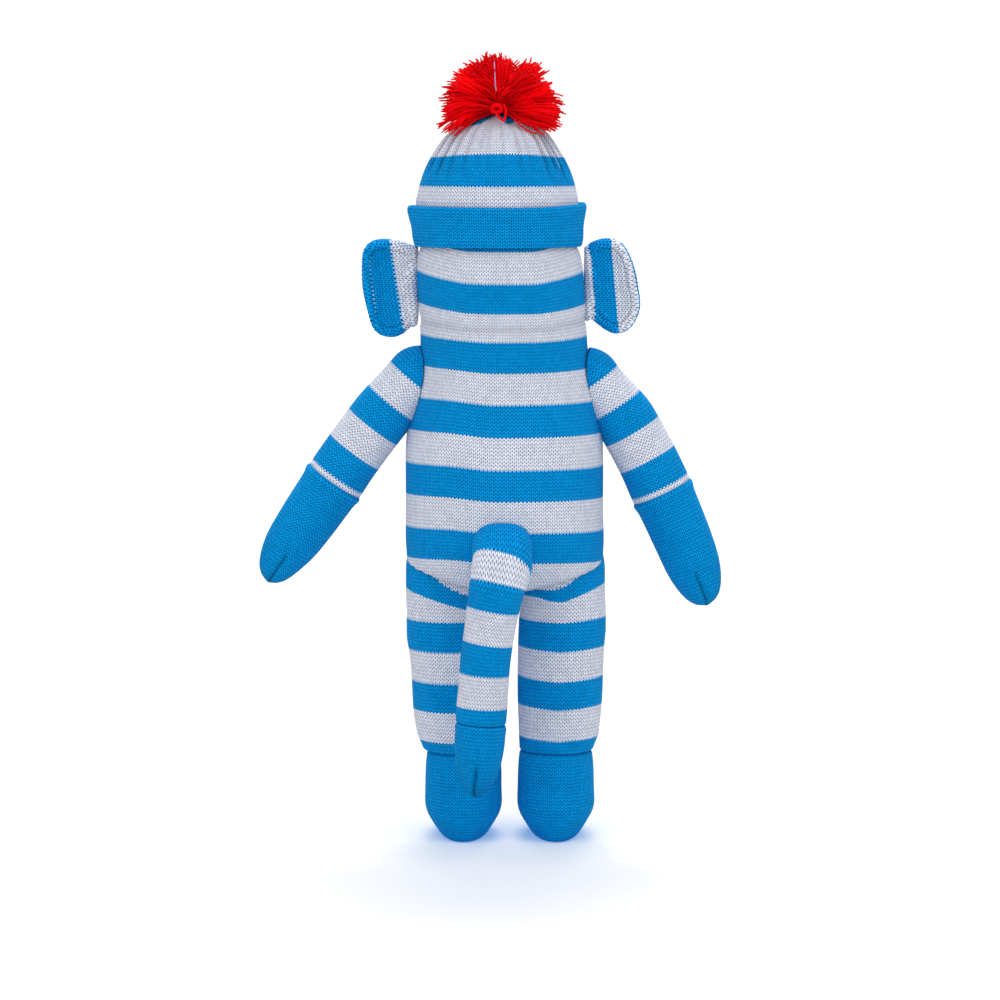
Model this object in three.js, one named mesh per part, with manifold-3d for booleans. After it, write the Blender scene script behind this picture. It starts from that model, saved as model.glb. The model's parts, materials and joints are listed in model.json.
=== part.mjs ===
// A stuffed monkey sewn from striped knitted tube, 16 inches tall, standing on its own soles.
// Units are millimetres. +Z is up, the monkey faces -Y and its left side is +X.
// The origin is on the ground, under the middle of the monkey's bounding box.

import * as THREE from 'three';
import { mergeVertices } from 'three/addons/utils/BufferGeometryUtils.js';
import Module from 'manifold-3d';

const wasm = await Module();
wasm.setup();

// ---------------------------------------------------------------- driving dimensions

const HEIGHT = 406.4; // soles to the top of the pom-pom
const KNIT = 1.2; // thickness of the knitted cover
const GAP = 0.3; // room left between touching pieces
const STUFFING_ROOM = KNIT + GAP; // from a cover's outside to the stuffing
const BODY_AXIS = [-7.2, -6]; // where the body's axis stands, seen from the middle of the box

const ROUND = 20; // sides of the body and the hat
const LIMB_ROUND = 16; // sides of an arm, a leg or the tail
const DOME_STEPS = 4; // steps of a quarter circle in an outline
const SMALL_ROUND = 10; // sides of eyes, washers and thread
const THREAD_ROUND = 8; // sides of the mouth's yarn and the nostrils' thread
const OVAL = { around: 16, rings: 8 }; // faces of a plain ellipsoid
const MUZZLE_OVAL = { around: 20, rings: 10 };
const NOSTRIL_OVAL = { around: 8, rings: 6 };
const CUTTER = 400; // a box larger than the whole monkey

// Body and head, one tube: [half width, height] from the seat up to the brow.
const BODY_OUTLINE = [
  [0, 129], [22, 130], [40, 136.5], [49, 146], [51.4, 165], [51, 205], [47.5, 228], [44.2, 247],
  [43, 265], [43.2, 290], [42, 303], [39.6, 309.5],
];
const TORSO_DEPTH = 0.86; // depth over width of the torso
const HEAD_DEPTH = 0.95; // depth over width of the head
const NECK_HEIGHTS = [225, 270]; // the section changes between these heights
const HEAD_HALF_WIDTH = 43; // at the height of the eyes
const HEAD_SHIFT = 4; // how far the top of the head leans to the left
const LEAN_HEIGHTS = [230, 330]; // it leans between these heights
const BELLY_TAPER = { share: 0.62, heights: [130, 195] }; // the front slopes back towards the legs
const SEAT_TAPER = { share: 0.8, heights: [128, 155] }; // and the back slopes in below the tail

// Hat: [half width, height] of the crown from the hem up, and the section of the turned-up cuff.
const CROWN_OUTLINE = [
  [41, 309.5], [41.3, 326], [41.1, 335], [38.6, 345], [34.2, 354], [27, 364.5], [16, 372],
  [0, 375.6],
];
const CROWN_OPENING = 14; // radius of the gathered opening at the top of the head cover
const CUFF_SECTION = [
  [41.9, 307.6], [43, 307.8], [43.7, 316], [44.7, 325], [44.3, 328.6], [43.2, 329.3], [42, 327],
];

// Pom-pom: a flattened ball of yarn tied on the crown.
const POMPOM = { radius: 31.5, bottom: 370, across: 3 };
const POMPOM_HOLLOW = [[0, 350], [34, 363], [27, 371], [16, 375.8], [0, 376.4]]; // it tips over this
const TIE_HOLE = { radius: 3.6, top: 388.4 };
const TIE_OUTLINE = [[0, 376.6], [1.3, 376.8], [1.3, 382], [3, 384.5], [2.2, 387], [0, 387.8]];

// Ears: padded ovals, flat faces front and back, cut off where they are sewn on.
const EAR = {
  centre: [54.2, 286], // distance from the head's own axis, height
  halfSize: [17.2, 4.6, 24.3],
  root: 45.2, // the sewn edge, from the head's own axis
  headAxis: 2,
};

// Face: muzzle, two plastic eyes held by washers, and stitched nostrils and mouth.
const MUZZLE = { height: 277, forward: 34, halfSize: [29, 28, 18] };
const EYE = { across: 14, height: 298, radius: 4.8, rise: 3.8, shank: 1.6, length: 9.5 };
const WASHER = { inner: 2.1, outer: 5, thickness: 1.6, depth: 3.9 };
const EYE_POCKET = 1; // room in the stuffing around a washer and past the end of a shank
const EYE_HOLE_TOP = 2; // an eye's hole is cut from this far outside the cover
const MOUTH = { halfWidth: 19, height: 271, curl: 4, yarn: 0.8, steps: 10 };
const NOSTRIL = { across: 4, height: 284.5, size: [0.8, 0.8, 1.8] };

// Arms: the bend of each follows from its angles, from vertical, at the shoulder and the hand.
const ARM_OUTLINE = [
  [0, -132], [6.5, -130], [11, -124], [14, -112], [15, -95], [15.1, -65], [15.4, -35], [15.6, 0],
];
const SHOULDER = { across: 46, height: 241, face: 45.7, flare: 0.17, reach: 138 };
const ARM_WRIST = 69.5; // from the shoulder down to the mitt's seam
const HANDS = {
  left: { tip: [122, 134.4], shoulderAngle: 40, handAngle: 32 },
  right: { tip: [105, 122.5], shoulderAngle: 36, handAngle: 19 },
};

// Legs: round tops that turn under the seat, and booties with flat soles.
const HIP = { across: 29.5, height: 134 };
const ANKLE = 45.4; // height of the bootie's seam
const SEAT_GAP = 1; // room around the round top of a leg, in the hollow under the seat
const THIGH_ROOM = 60; // how much of a leg can meet the body when the monkey sits
const LEG_OUTLINE = [[18.9, ANKLE], [20.4, 64], [21.7, 94], [21.7, HIP.height]];
const LEG_OPENING = 15; // radius of the open top of the sleeve
const LEG_LEAN = { left: 0.089, right: 0.034 }; // how far each leg leans in, over its length
const HEEL_OUTLINE = [[0, -3], [13, -2], [17.6, 2.5], [20.2, 14], [19.9, 30], [18.9, ANKLE]];
const TOE = { centre: [0, -16, 15], halfSize: [20, 30, 20] };

// Tail: a round root against the back of the torso, hanging behind the left leg.
const TAIL_ROOT = [1, 59.2, 150];
const TAIL_OUTLINE = [
  [0, -118.5], [4.5, -117], [9, -110.5], [12.6, -100], [13.6, -83], [14.4, -65], [15.2, -35],
  [15.5, 0],
];
const TAIL_SEAM = 83; // from the root down to the tip's seam
const TAIL_LEAN = 0.112; // sideways, over its length
const TAIL_SEAT = { ahead: 9.5, below: 20 }; // the sleeve is open there, measured from the root's centre

// ---------------------------------------------------------------- materials

const knit = (color) => new THREE.MeshStandardMaterial({ color, roughness: 0.9, metalness: 0 });
const blueKnit = knit(0x0084c8);
const whiteKnit = knit(0xd8dbe8);
const stripedKnit = knit(0x7fb2d8);
const redYarn = knit(0xe00008);
const blackYarn = knit(0x151518);
const stuffingFibre = knit(0xf2f1ec);
const eyePlastic = new THREE.MeshStandardMaterial({ color: 0x08080a, roughness: 0.12, metalness: 0 });
const washerPlastic = new THREE.MeshStandardMaterial({ color: 0xe6e6e2, roughness: 0.5, metalness: 0 });

// ---------------------------------------------------------------- geometry helpers

const points = (pairs) => pairs.map(([x, y]) => new THREE.Vector2(x, y));

const smoothstep = THREE.MathUtils.smoothstep;

// A closed three.js geometry as a solid, with its faces turned outwards.
function solid(geometry) {
  const bare = geometry.clone();
  bare.deleteAttribute('normal');
  bare.deleteAttribute('uv');
  const merged = mergeVertices(bare, 1e-3);
  const vertProperties = new Float32Array(merged.attributes.position.array);
  const triVerts = new Uint32Array(merged.index.array);
  const made = new wasm.Manifold(new wasm.Mesh({ numProp: 3, vertProperties, triVerts }));
  if (made.volume() > 0) return made;
  return new wasm.Manifold(new wasm.Mesh({ numProp: 3, vertProperties, triVerts: triVerts.reverse() }));
}

// A named mesh made from a solid.
function piece(name, body, material) {
  const { numProp, vertProperties, triVerts } = body.getMesh();
  const geometry = new THREE.BufferGeometry();
  const buffer = new THREE.InterleavedBuffer(vertProperties, numProp);
  geometry.setAttribute('position', new THREE.InterleavedBufferAttribute(buffer, 3, 0));
  geometry.setIndex(new THREE.BufferAttribute(triVerts, 1));
  const mesh = new THREE.Mesh(geometry, material);
  mesh.name = name;
  return mesh;
}

// Moves every corner of a geometry through a function of its place.
function warp(geometry, move) {
  const place = geometry.attributes.position;
  const at = new THREE.Vector3();
  for (let i = 0; i < place.count; i += 1) {
    at.fromBufferAttribute(place, i);
    move(at);
    place.setXYZ(i, at.x, at.y, at.z);
  }
  return geometry;
}

// An outline of [radius, height] turned about Z.
function turned(outline, sides) {
  return new THREE.LatheGeometry(outline, sides).rotateX(Math.PI / 2);
}

// An outline, drawn from the bottom up, moved inwards by a depth.
function inset(outline, depth) {
  return outline.map((point, i) => {
    const before = outline[Math.max(i - 1, 0)];
    const after = outline[Math.min(i + 1, outline.length - 1)];
    const along = after.clone().sub(before).normalize();
    const radius = point.x === 0 ? 0 : Math.max(point.x - along.y * depth, 0);
    return new THREE.Vector2(radius, point.y + along.x * depth);
  });
}

// A round top on an outline whose last point is level with the dome's centre.
function domed(outline, opening = 0, steps = DOME_STEPS) {
  const last = outline[outline.length - 1];
  const end = Math.acos(opening / last.x);
  const dome = [];
  for (let i = 1; i <= steps; i += 1) {
    const angle = (end * i) / steps;
    const radius = i === steps ? opening : last.x * Math.cos(angle);
    dome.push(new THREE.Vector2(radius, last.y + last.x * Math.sin(angle)));
  }
  return [...outline, ...dome];
}

// An outline closed onto the axis at both ends.
function closed(outline) {
  const first = outline[0];
  const last = outline[outline.length - 1];
  const start = first.x > 0 ? [new THREE.Vector2(0, first.y)] : [];
  const end = last.x > 0 ? [new THREE.Vector2(0, last.y)] : [];
  return [...start, ...outline, ...end];
}

// The outline of a shell: up the outside and back down the inside.
function shellOutline(outline) {
  const ring = [...outline, ...inset(outline, KNIT).reverse()];
  return outline[0].x > 0 ? [...ring, ring[0].clone()] : ring;
}

// The stretch of an outline between two heights, with a point exactly at each.
function stretch(outline, from, to) {
  const cut = (height) => {
    const i = outline.findIndex((point, k) => k > 0 && point.y >= height);
    const a = outline[i - 1];
    const b = outline[i];
    return a.clone().lerp(b, (height - a.y) / (b.y - a.y));
  };
  const inside = outline.filter((point) => point.y > from + GAP && point.y < to - GAP);
  const start = from > outline[0].y ? [cut(from)] : [outline[0]];
  const end = to < outline[outline.length - 1].y ? [cut(to)] : [outline[outline.length - 1]];
  return [...start, ...inside.filter((point) => point !== start[0] && point !== end[0]), ...end];
}

function box(min, max) {
  const size = new THREE.Vector3(...max).sub(new THREE.Vector3(...min));
  return solid(new THREE.BoxGeometry(size.x, size.y, size.z)
    .translate(min[0] + size.x / 2, min[1] + size.y / 2, min[2] + size.z / 2));
}

function ellipsoid(halfSize, centre, { around, rings } = OVAL) {
  return solid(new THREE.SphereGeometry(1, around, rings)
    .rotateX(Math.PI / 2)
    .scale(...halfSize)
    .translate(...centre));
}

const thinner = (halfSize, depth) => halfSize.map((size) => size - depth);

// ---------------------------------------------------------------- body and head

const leanAt = (height) => HEAD_SHIFT * smoothstep(height, ...LEAN_HEIGHTS);

// Turns a round section at the body's axis into the body's oval, leaning one.
function bodyShape(at) {
  const { share, heights } = at.y < 0 ? BELLY_TAPER : SEAT_TAPER;
  at.y *= THREE.MathUtils.lerp(TORSO_DEPTH, HEAD_DEPTH, smoothstep(at.z, ...NECK_HEIGHTS));
  at.y *= THREE.MathUtils.lerp(share, 1, smoothstep(at.z, ...heights));
  at.x += leanAt(at.z);
}

const bodyTurned = (outline) => solid(warp(turned(outline, ROUND), bodyShape));

const crownOutline = points(CROWN_OUTLINE);
const headTop = inset(crownOutline, STUFFING_ROOM).filter((point) => point.y > BODY_OUTLINE.at(-1)[1]);
const bodyOutline = [...points(BODY_OUTLINE), ...headTop];

// The body's outer surface moved in by a depth, or out where the depth is negative.
const bodyInset = (depth) => bodyTurned(inset(bodyOutline, depth));

// Puts an upright limb at a hip and leans its level sections towards the middle below it.
function legShape(side, lean) {
  return (at) => {
    at.x += side * (HIP.across - lean * Math.max(HIP.height - at.z, 0));
  };
}

// The space that one leg needs under the seat, from standing to sitting.
function legRoom(name, side, clearance) {
  const radius = LEG_OUTLINE.at(-1)[0] + clearance;
  const thigh = points([[radius, HIP.height - THIGH_ROOM], [radius, HIP.height]]);
  const leg = warp(turned(closed(domed(thigh)), LIMB_ROUND), legShape(side, LEG_LEAN[name]));
  const sitting = leg.clone().translate(0, 0, -HIP.height).rotateX(-Math.PI / 2);
  return solid(leg).add(solid(sitting.translate(0, 0, HIP.height)));
}

function seatRoom(clearance) {
  const front = box([-CUTTER, -CUTTER, -CUTTER], [CUTTER, 0, HIP.height + clearance - SEAT_GAP]);
  return legRoom('left', 1, clearance).add(legRoom('right', -1, clearance)).add(front);
}

// Points where a round piece on the head's surface stands, and the way it faces.
function onHead(across, height) {
  const halfDepth = HEAD_HALF_WIDTH * HEAD_DEPTH;
  const back = halfDepth * Math.sqrt(1 - (across / HEAD_HALF_WIDTH) ** 2);
  const facing = new THREE.Vector3(across / HEAD_HALF_WIDTH ** 2, -back / halfDepth ** 2, 0).normalize();
  return { place: new THREE.Vector3(across + leanAt(height), -back, height), facing };
}

// An outline turned about an axis that leaves the head at a place.
function turnedOnHead(outline, { place, facing }, sides = SMALL_ROUND) {
  const turn = new THREE.Quaternion().setFromUnitVectors(new THREE.Vector3(0, 0, 1), facing);
  const geometry = turned(outline, sides).applyQuaternion(turn);
  return solid(geometry.translate(place.x, place.y, place.z));
}

const cylinderOutline = (radius, low, high) => points([[0, low], [radius, low], [radius, high], [0, high]]);

const eyes = [1, -1].map((side) => {
  const seat = onHead(side * EYE.across, EYE.height);
  return { name: side > 0 ? 'left' : 'right', seat };
});

function makeBody() {
  let cover = bodyInset(0).subtract(seatRoom(SEAT_GAP));
  cover = cover.subtract(bodyInset(KNIT).subtract(seatRoom(SEAT_GAP + KNIT)));
  const crownHole = cylinderOutline(CROWN_OPENING, EYE.height + EYE.radius, CUTTER);
  cover = cover.subtract(bodyTurned(crownHole));
  let stuffing = bodyInset(STUFFING_ROOM).subtract(seatRoom(SEAT_GAP + STUFFING_ROOM));
  const shankHole = cylinderOutline(EYE.shank + GAP, -EYE.length, EYE_HOLE_TOP);
  const pocket = cylinderOutline(WASHER.outer + EYE_POCKET, -EYE.length - EYE_POCKET, EYE_HOLE_TOP);
  for (const { seat } of eyes) {
    cover = cover.subtract(turnedOnHead(shankHole, seat));
    stuffing = stuffing.subtract(turnedOnHead(pocket, seat));
  }
  return [piece('body_cover', cover, stripedKnit), piece('body_stuffing', stuffing, stuffingFibre)];
}

// ---------------------------------------------------------------- hat and pom-pom

function makeHat() {
  const crown = bodyTurned(shellOutline(crownOutline));
  const section = points(CUFF_SECTION);
  const cuff = bodyTurned([...section, section[0].clone()]);
  return [piece('hat_crown', crown, stripedKnit), piece('hat_cuff', cuff, blueKnit)];
}

function makePompom() {
  const halfHeight = (HEIGHT - POMPOM.bottom) / 2;
  const centre = [POMPOM.across, 0, POMPOM.bottom + halfHeight];
  const yarn = ellipsoid([POMPOM.radius, POMPOM.radius, halfHeight], centre)
    .subtract(bodyTurned(points(POMPOM_HOLLOW)))
    .subtract(bodyTurned(cylinderOutline(TIE_HOLE.radius, 0, TIE_HOLE.top)));
  const tie = solid(warp(turned(points(TIE_OUTLINE), SMALL_ROUND), bodyShape));
  return [piece('pompom', yarn, redYarn), piece('pompom_tie', tie, redYarn)];
}

// ---------------------------------------------------------------- ears

function makeEar(name, side) {
  const centre = [side * EAR.centre[0] + EAR.headAxis, 0, EAR.centre[1]];
  const sewn = side * EAR.root + EAR.headAxis;
  const headSide = side > 0 ? box([-CUTTER, -CUTTER, 0], [sewn, CUTTER, CUTTER])
    : box([sewn, -CUTTER, 0], [CUTTER, CUTTER, CUTTER]);
  const oval = (depth) => ellipsoid(thinner(EAR.halfSize, depth), centre).subtract(headSide);
  const skin = oval(0).subtract(ellipsoid(thinner(EAR.halfSize, KNIT), centre));
  const behind = box([-CUTTER, -GAP / 2, 0], [CUTTER, CUTTER, CUTTER]);
  const before = box([-CUTTER, -CUTTER, 0], [CUTTER, GAP / 2, CUTTER]);
  return [
    piece(`ear_${name}_back_panel`, skin.subtract(before), stripedKnit),
    piece(`ear_${name}_front_panel`, skin.subtract(behind), stripedKnit),
    piece(`ear_${name}_padding`, oval(STUFFING_ROOM), stuffingFibre),
  ];
}

// ---------------------------------------------------------------- face

const muzzleCentre = [leanAt(MUZZLE.height), -MUZZLE.forward, MUZZLE.height];

// A place on the muzzle's surface, lifted off it by a height.
function onMuzzle(across, height, lift) {
  const [a, b, c] = MUZZLE.halfSize.map((size) => size + lift);
  const rise = height - MUZZLE.height;
  const forward = b * Math.sqrt(1 - (across / a) ** 2 - (rise / c) ** 2);
  return new THREE.Vector3(muzzleCentre[0] + across, muzzleCentre[1] - forward, height);
}

function makeMuzzle() {
  const head = bodyInset(-GAP);
  const whole = (depth) => ellipsoid(thinner(MUZZLE.halfSize, depth), muzzleCentre, MUZZLE_OVAL);
  const cover = whole(0).subtract(whole(KNIT)).subtract(head);
  const stuffing = whole(STUFFING_ROOM).subtract(head);
  return [piece('muzzle_cover', cover, whiteKnit), piece('muzzle_stuffing', stuffing, stuffingFibre)];
}

function makeEye({ name, seat }) {
  const dome = [];
  for (let i = 0; i <= DOME_STEPS; i += 1) {
    const angle = (i / DOME_STEPS) * (Math.PI / 2);
    const radius = i === DOME_STEPS ? 0 : EYE.radius * Math.cos(angle);
    dome.push([radius, 2 * GAP + EYE.rise * Math.sin(angle)]);
  }
  const outline = points([[0, -EYE.length], [EYE.shank, -EYE.length], [EYE.shank, 2 * GAP], ...dome]);
  const top = -WASHER.depth + WASHER.thickness / 2;
  const bottom = top - WASHER.thickness;
  const ring = points([
    [WASHER.inner, bottom], [WASHER.outer, bottom], [WASHER.outer, top], [WASHER.inner, top],
    [WASHER.inner, bottom],
  ]);
  return [
    piece(`eye_${name}`, turnedOnHead(outline, seat), eyePlastic),
    piece(`eye_washer_${name}`, turnedOnHead(ring, seat), washerPlastic),
  ];
}

function makeStitches() {
  const lift = MOUTH.yarn + 2 * GAP;
  const route = [];
  for (let i = 0; i <= MOUTH.steps; i += 1) {
    const share = (2 * i) / MOUTH.steps - 1;
    route.push(onMuzzle(MOUTH.halfWidth * share, MOUTH.height + MOUTH.curl * share * share, lift));
  }
  const section = new THREE.Shape();
  section.absarc(0, 0, MOUTH.yarn, 0, 2 * Math.PI);
  const mouth = new THREE.ExtrudeGeometry(section, {
    extrudePath: new THREE.CatmullRomCurve3(route),
    steps: MOUTH.steps,
    curveSegments: THREAD_ROUND / 2,
  });
  const nostrils = [1, -1].map((side) => {
    const place = onMuzzle(side * NOSTRIL.across, NOSTRIL.height, NOSTRIL.size[1] + 2 * GAP);
    const name = side > 0 ? 'nostril_stitch_left' : 'nostril_stitch_right';
    return piece(name, ellipsoid(NOSTRIL.size, place.toArray(), NOSTRIL_OVAL), blackYarn);
  });
  return [piece('mouth_stitch', solid(mouth), redYarn), ...nostrils];
}

// ---------------------------------------------------------------- arms

// The curve of an arm in the plane of X and Z, from the shoulder to the tip of the hand.
function armCurve(hand) {
  const shoulder = new THREE.Vector2(SHOULDER.across, SHOULDER.height);
  const tip = new THREE.Vector2(...hand.tip);
  const [out, end] = [hand.shoulderAngle, hand.handAngle].map(THREE.MathUtils.degToRad);
  const outward = new THREE.Vector2(Math.sin(out), -Math.cos(out));
  const inward = new THREE.Vector2(-Math.sin(end), Math.cos(end));
  const reach = tip.clone().sub(shoulder);
  const along = reach.cross(inward) / outward.cross(inward);
  const bend = shoulder.clone().addScaledVector(outward, along);
  return new THREE.QuadraticBezierCurve(shoulder, bend, tip);
}

// Bends a straight limb that hangs from the origin along an arm's curve.
function armShape(side, hand) {
  const curve = armCurve(hand);
  const length = -ARM_OUTLINE[0][1];
  return (at) => {
    const share = THREE.MathUtils.clamp(-at.z / length, 0, 1);
    const centre = curve.getPointAt(share);
    const ahead = curve.getTangentAt(share);
    const beyond = -at.z - share * length;
    at.z = centre.y + ahead.x * at.x + ahead.y * beyond;
    at.x = side * (centre.x - ahead.y * at.x + ahead.x * beyond);
  };
}

// Everything on the torso's side of the shoulder seam, a shallow cone about the arm's axis.
function torsoSide(side, clearance) {
  const face = SHOULDER.face + clearance;
  const rim = [SHOULDER.reach, face + SHOULDER.reach * SHOULDER.flare];
  const outline = points([[0, face], rim, [SHOULDER.reach, 0], [0, 0]]);
  const cone = turned(outline.reverse(), ROUND).rotateY(side * (Math.PI / 2));
  return solid(cone.translate(0, 0, SHOULDER.height));
}

function makeArm(name, side) {
  const shape = armShape(side, HANDS[name]);
  const whole = domed(points(ARM_OUTLINE));
  const limb = (outline) => solid(warp(turned(outline, LIMB_ROUND), shape));
  const sleeveTop = shellOutline(stretch(whole, -ARM_WRIST + GAP / 2, whole.at(-1).y));
  const sleeve = limb(sleeveTop).subtract(torsoSide(side, GAP));
  const mitt = limb(shellOutline(stretch(whole, whole[0].y, -ARM_WRIST - GAP / 2)));
  const stuffing = limb(inset(whole, STUFFING_ROOM)).subtract(torsoSide(side, GAP));
  return [
    piece(`arm_${name}_sleeve`, sleeve, stripedKnit),
    piece(`arm_${name}_mitt`, mitt, blueKnit),
    piece(`arm_${name}_stuffing`, stuffing, stuffingFibre),
  ];
}

// ---------------------------------------------------------------- legs

// A bootie from the ankle seam down, moved in by a depth and cut flat at the sole.
function bootie(depth, top) {
  const column = inset(points(HEEL_OUTLINE), depth);
  column[column.length - 1].y = top;
  const heel = solid(turned(closed(column), LIMB_ROUND));
  const toe = ellipsoid(thinner(TOE.halfSize, depth), TOE.centre);
  return heel.add(toe).subtract(box([-CUTTER, -CUTTER, -CUTTER], [CUTTER, CUTTER, depth]));
}

function makeLeg(name, side) {
  const lean = LEG_LEAN[name];
  const outline = points(LEG_OUTLINE);
  outline[0].y += GAP / 2;
  const limb = (profile) => solid(warp(turned(profile, LIMB_ROUND), legShape(side, lean)));
  const footAcross = side * (HIP.across - lean * (HIP.height - ANKLE));
  const sleeve = limb(shellOutline(domed(outline, LEG_OPENING)));
  const seam = ANKLE - GAP / 2;
  const foot = bootie(0, seam).subtract(bootie(KNIT, seam + KNIT)).translate([footAcross, 0, 0]);
  const fill = limb(closed(inset(domed(outline), STUFFING_ROOM)))
    .add(bootie(STUFFING_ROOM, ANKLE + STUFFING_ROOM).translate([footAcross, 0, 0]));
  return [
    piece(`leg_${name}_sleeve`, sleeve, stripedKnit),
    piece(`leg_${name}_foot`, foot, blueKnit),
    piece(`leg_${name}_stuffing`, fill, stuffingFibre),
  ];
}

// ---------------------------------------------------------------- tail

// Leans the tail's level sections sideways, below its root.
function tailShape(at) {
  at.x += TAIL_LEAN * Math.max(-at.z, 0) + TAIL_ROOT[0];
  at.y += TAIL_ROOT[1];
  at.z += TAIL_ROOT[2];
}

function makeTail() {
  const whole = domed(points(TAIL_OUTLINE));
  const limb = (outline) => solid(warp(turned(outline, LIMB_ROUND), tailShape));
  const lowest = TAIL_ROOT[2] - TAIL_SEAT.below;
  const sewn = box([-CUTTER, -CUTTER, lowest], [CUTTER, TAIL_ROOT[1] - TAIL_SEAT.ahead, CUTTER]);
  const sleeve = limb(shellOutline(stretch(whole, -TAIL_SEAM + GAP / 2, whole.at(-1).y))).subtract(sewn);
  const tip = limb(shellOutline(stretch(whole, whole[0].y, -TAIL_SEAM - GAP / 2)));
  return [
    piece('tail_sleeve', sleeve, stripedKnit),
    piece('tail_tip', tip, blueKnit),
    piece('tail_stuffing', limb(inset(whole, STUFFING_ROOM)), stuffingFibre),
  ];
}

// ---------------------------------------------------------------- the monkey

const monkey = new THREE.Group();
monkey.position.set(...BODY_AXIS, 0);
monkey.add(
  ...makeBody(),
  ...makeHat(),
  ...makePompom(),
  ...makeMuzzle(),
  ...eyes.flatMap(makeEye),
  ...makeStitches(),
  ...makeEar('left', 1),
  ...makeEar('right', -1),
  ...makeArm('left', 1),
  ...makeArm('right', -1),
  ...makeLeg('left', 1),
  ...makeLeg('right', -1),
  ...makeTail(),
);

export default monkey;
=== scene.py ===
import json
import math

import bpy
import numpy as np
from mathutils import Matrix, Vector, noise


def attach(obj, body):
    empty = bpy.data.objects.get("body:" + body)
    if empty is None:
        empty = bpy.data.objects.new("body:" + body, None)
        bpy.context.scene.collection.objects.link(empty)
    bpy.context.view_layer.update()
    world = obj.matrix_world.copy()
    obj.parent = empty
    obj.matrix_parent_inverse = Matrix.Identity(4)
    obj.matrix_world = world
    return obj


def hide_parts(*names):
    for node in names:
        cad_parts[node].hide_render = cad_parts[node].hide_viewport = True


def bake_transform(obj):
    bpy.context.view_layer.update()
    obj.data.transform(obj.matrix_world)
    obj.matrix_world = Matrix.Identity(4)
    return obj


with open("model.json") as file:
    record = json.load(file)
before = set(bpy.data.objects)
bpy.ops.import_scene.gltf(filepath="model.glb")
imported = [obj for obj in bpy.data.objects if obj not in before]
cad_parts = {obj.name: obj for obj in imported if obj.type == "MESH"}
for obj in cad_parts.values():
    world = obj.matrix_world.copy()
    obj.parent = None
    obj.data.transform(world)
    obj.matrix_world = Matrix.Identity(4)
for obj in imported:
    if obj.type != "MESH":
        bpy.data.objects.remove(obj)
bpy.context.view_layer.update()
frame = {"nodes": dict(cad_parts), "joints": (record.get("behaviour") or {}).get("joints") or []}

# Lengths are millimetres in the body's own axes until a mesh is made: the origin is on the ground under
# the shoulders, +Z is up, the monkey faces -Y and its left side is +X.
MM = 0.001

# ---- camera

CAMERA_DISTANCE = 1800
CAMERA_ELEVATION = math.radians(6)
CAMERA_AIM = Vector((-4.6, 0, 177))
LENS = 125.3


def make_camera():
    data = bpy.data.cameras.new("camera")
    data.lens = LENS
    data.clip_end = 20
    camera = bpy.data.objects.new("camera", data)
    bpy.context.scene.collection.objects.link(camera)
    behind = Vector((0, math.cos(CAMERA_ELEVATION), math.sin(CAMERA_ELEVATION)))
    camera.location = (CAMERA_AIM + behind * CAMERA_DISTANCE) * MM
    camera.rotation_euler = (-behind).to_track_quat("-Z", "Y").to_euler()
    bpy.context.scene.camera = camera


make_camera()

# ---- places from the frame

JOINTS = {joint["name"]: Vector(joint["pos_m"]) / MM for joint in frame["joints"]}
AXIS = (JOINTS["shoulder_left"] + JOINTS["shoulder_right"]) / 2
AXIS.z = 0
SIDES = (("left", 1), ("right", -1))


def joint_place(name):
    """Where a joint is, in the body's own axes."""
    return np.array(JOINTS[name] - AXIS)


def frame_point(x, y, z):
    """A point in the body's own axes as a point of the frame, in metres."""
    return tuple((AXIS + Vector((x, y, z))) * MM)


# ---- driving dimensions

KNIT = 1.2  # thickness of the knitted covers
WALE = 1.95  # width of a stitch
COURSE = 1.92  # height of a stitch
STRIPE_COURSES = 9  # rows of stitches in a stripe
STUFFING_INSET = 2.2  # from a cover's outside to the stuffing
SEAM_ROLL = 1.5  # length over which the edge of a cover turns in at a seam
STEP = 2.1  # spacing of a cover's mesh
LIMB_STEP = 1.9  # the same round an arm or the tail

# Body and head, one tube: [half width, height] from the seat up to the opening under the hat.
BODY_OUTLINE = [
    (0, 129), (12, 129.2), (22, 130), (41, 135), (49.6, 142), (51.3, 152), (51.5, 165), (51, 205),
    (47.5, 228), (44.2, 247), (43, 265), (43.2, 290), (42, 303), (40, 309.5), (39.5, 326), (39, 335),
    (36.8, 344), (32.6, 352.6), (25.6, 362.8), (14.5, 370.5),
]
TORSO_DEPTH = 0.86
HEAD_DEPTH = 0.95
BELLY_TAPER = (0.62, 130, 195)  # share of the depth left at the seat, and between which heights
SEAT_TAPER = (0.8, 128, 155)
HEAD_SHIFT = 4  # how far the head leans to the left
BODY_STRIPES = [112, 129.6, 145.5, 161.8, 178.7, 195.1, 212, 228.9, 245.5, 262, 278.4, 295, 313.8, 330]
# How far the stripes dip in the middle behind, and rise on the left side: [height, distance].
STRIPE_DIP = [(145, -3), (180, -1), (230, 0.4), (262, 1.8), (280, 4.7), (300, 6), (313.8, 10.4)]
STRIPE_RISE = [(235, 2), (262, 0.9), (300, 0.6)]
BODY_STITCH_RADIUS = 47.6  # mean radius, which gives the number of stitches round
BODY_MESH_RADIUS = 48  # the same for the columns of the mesh
NECK_CREASE = 270

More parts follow.
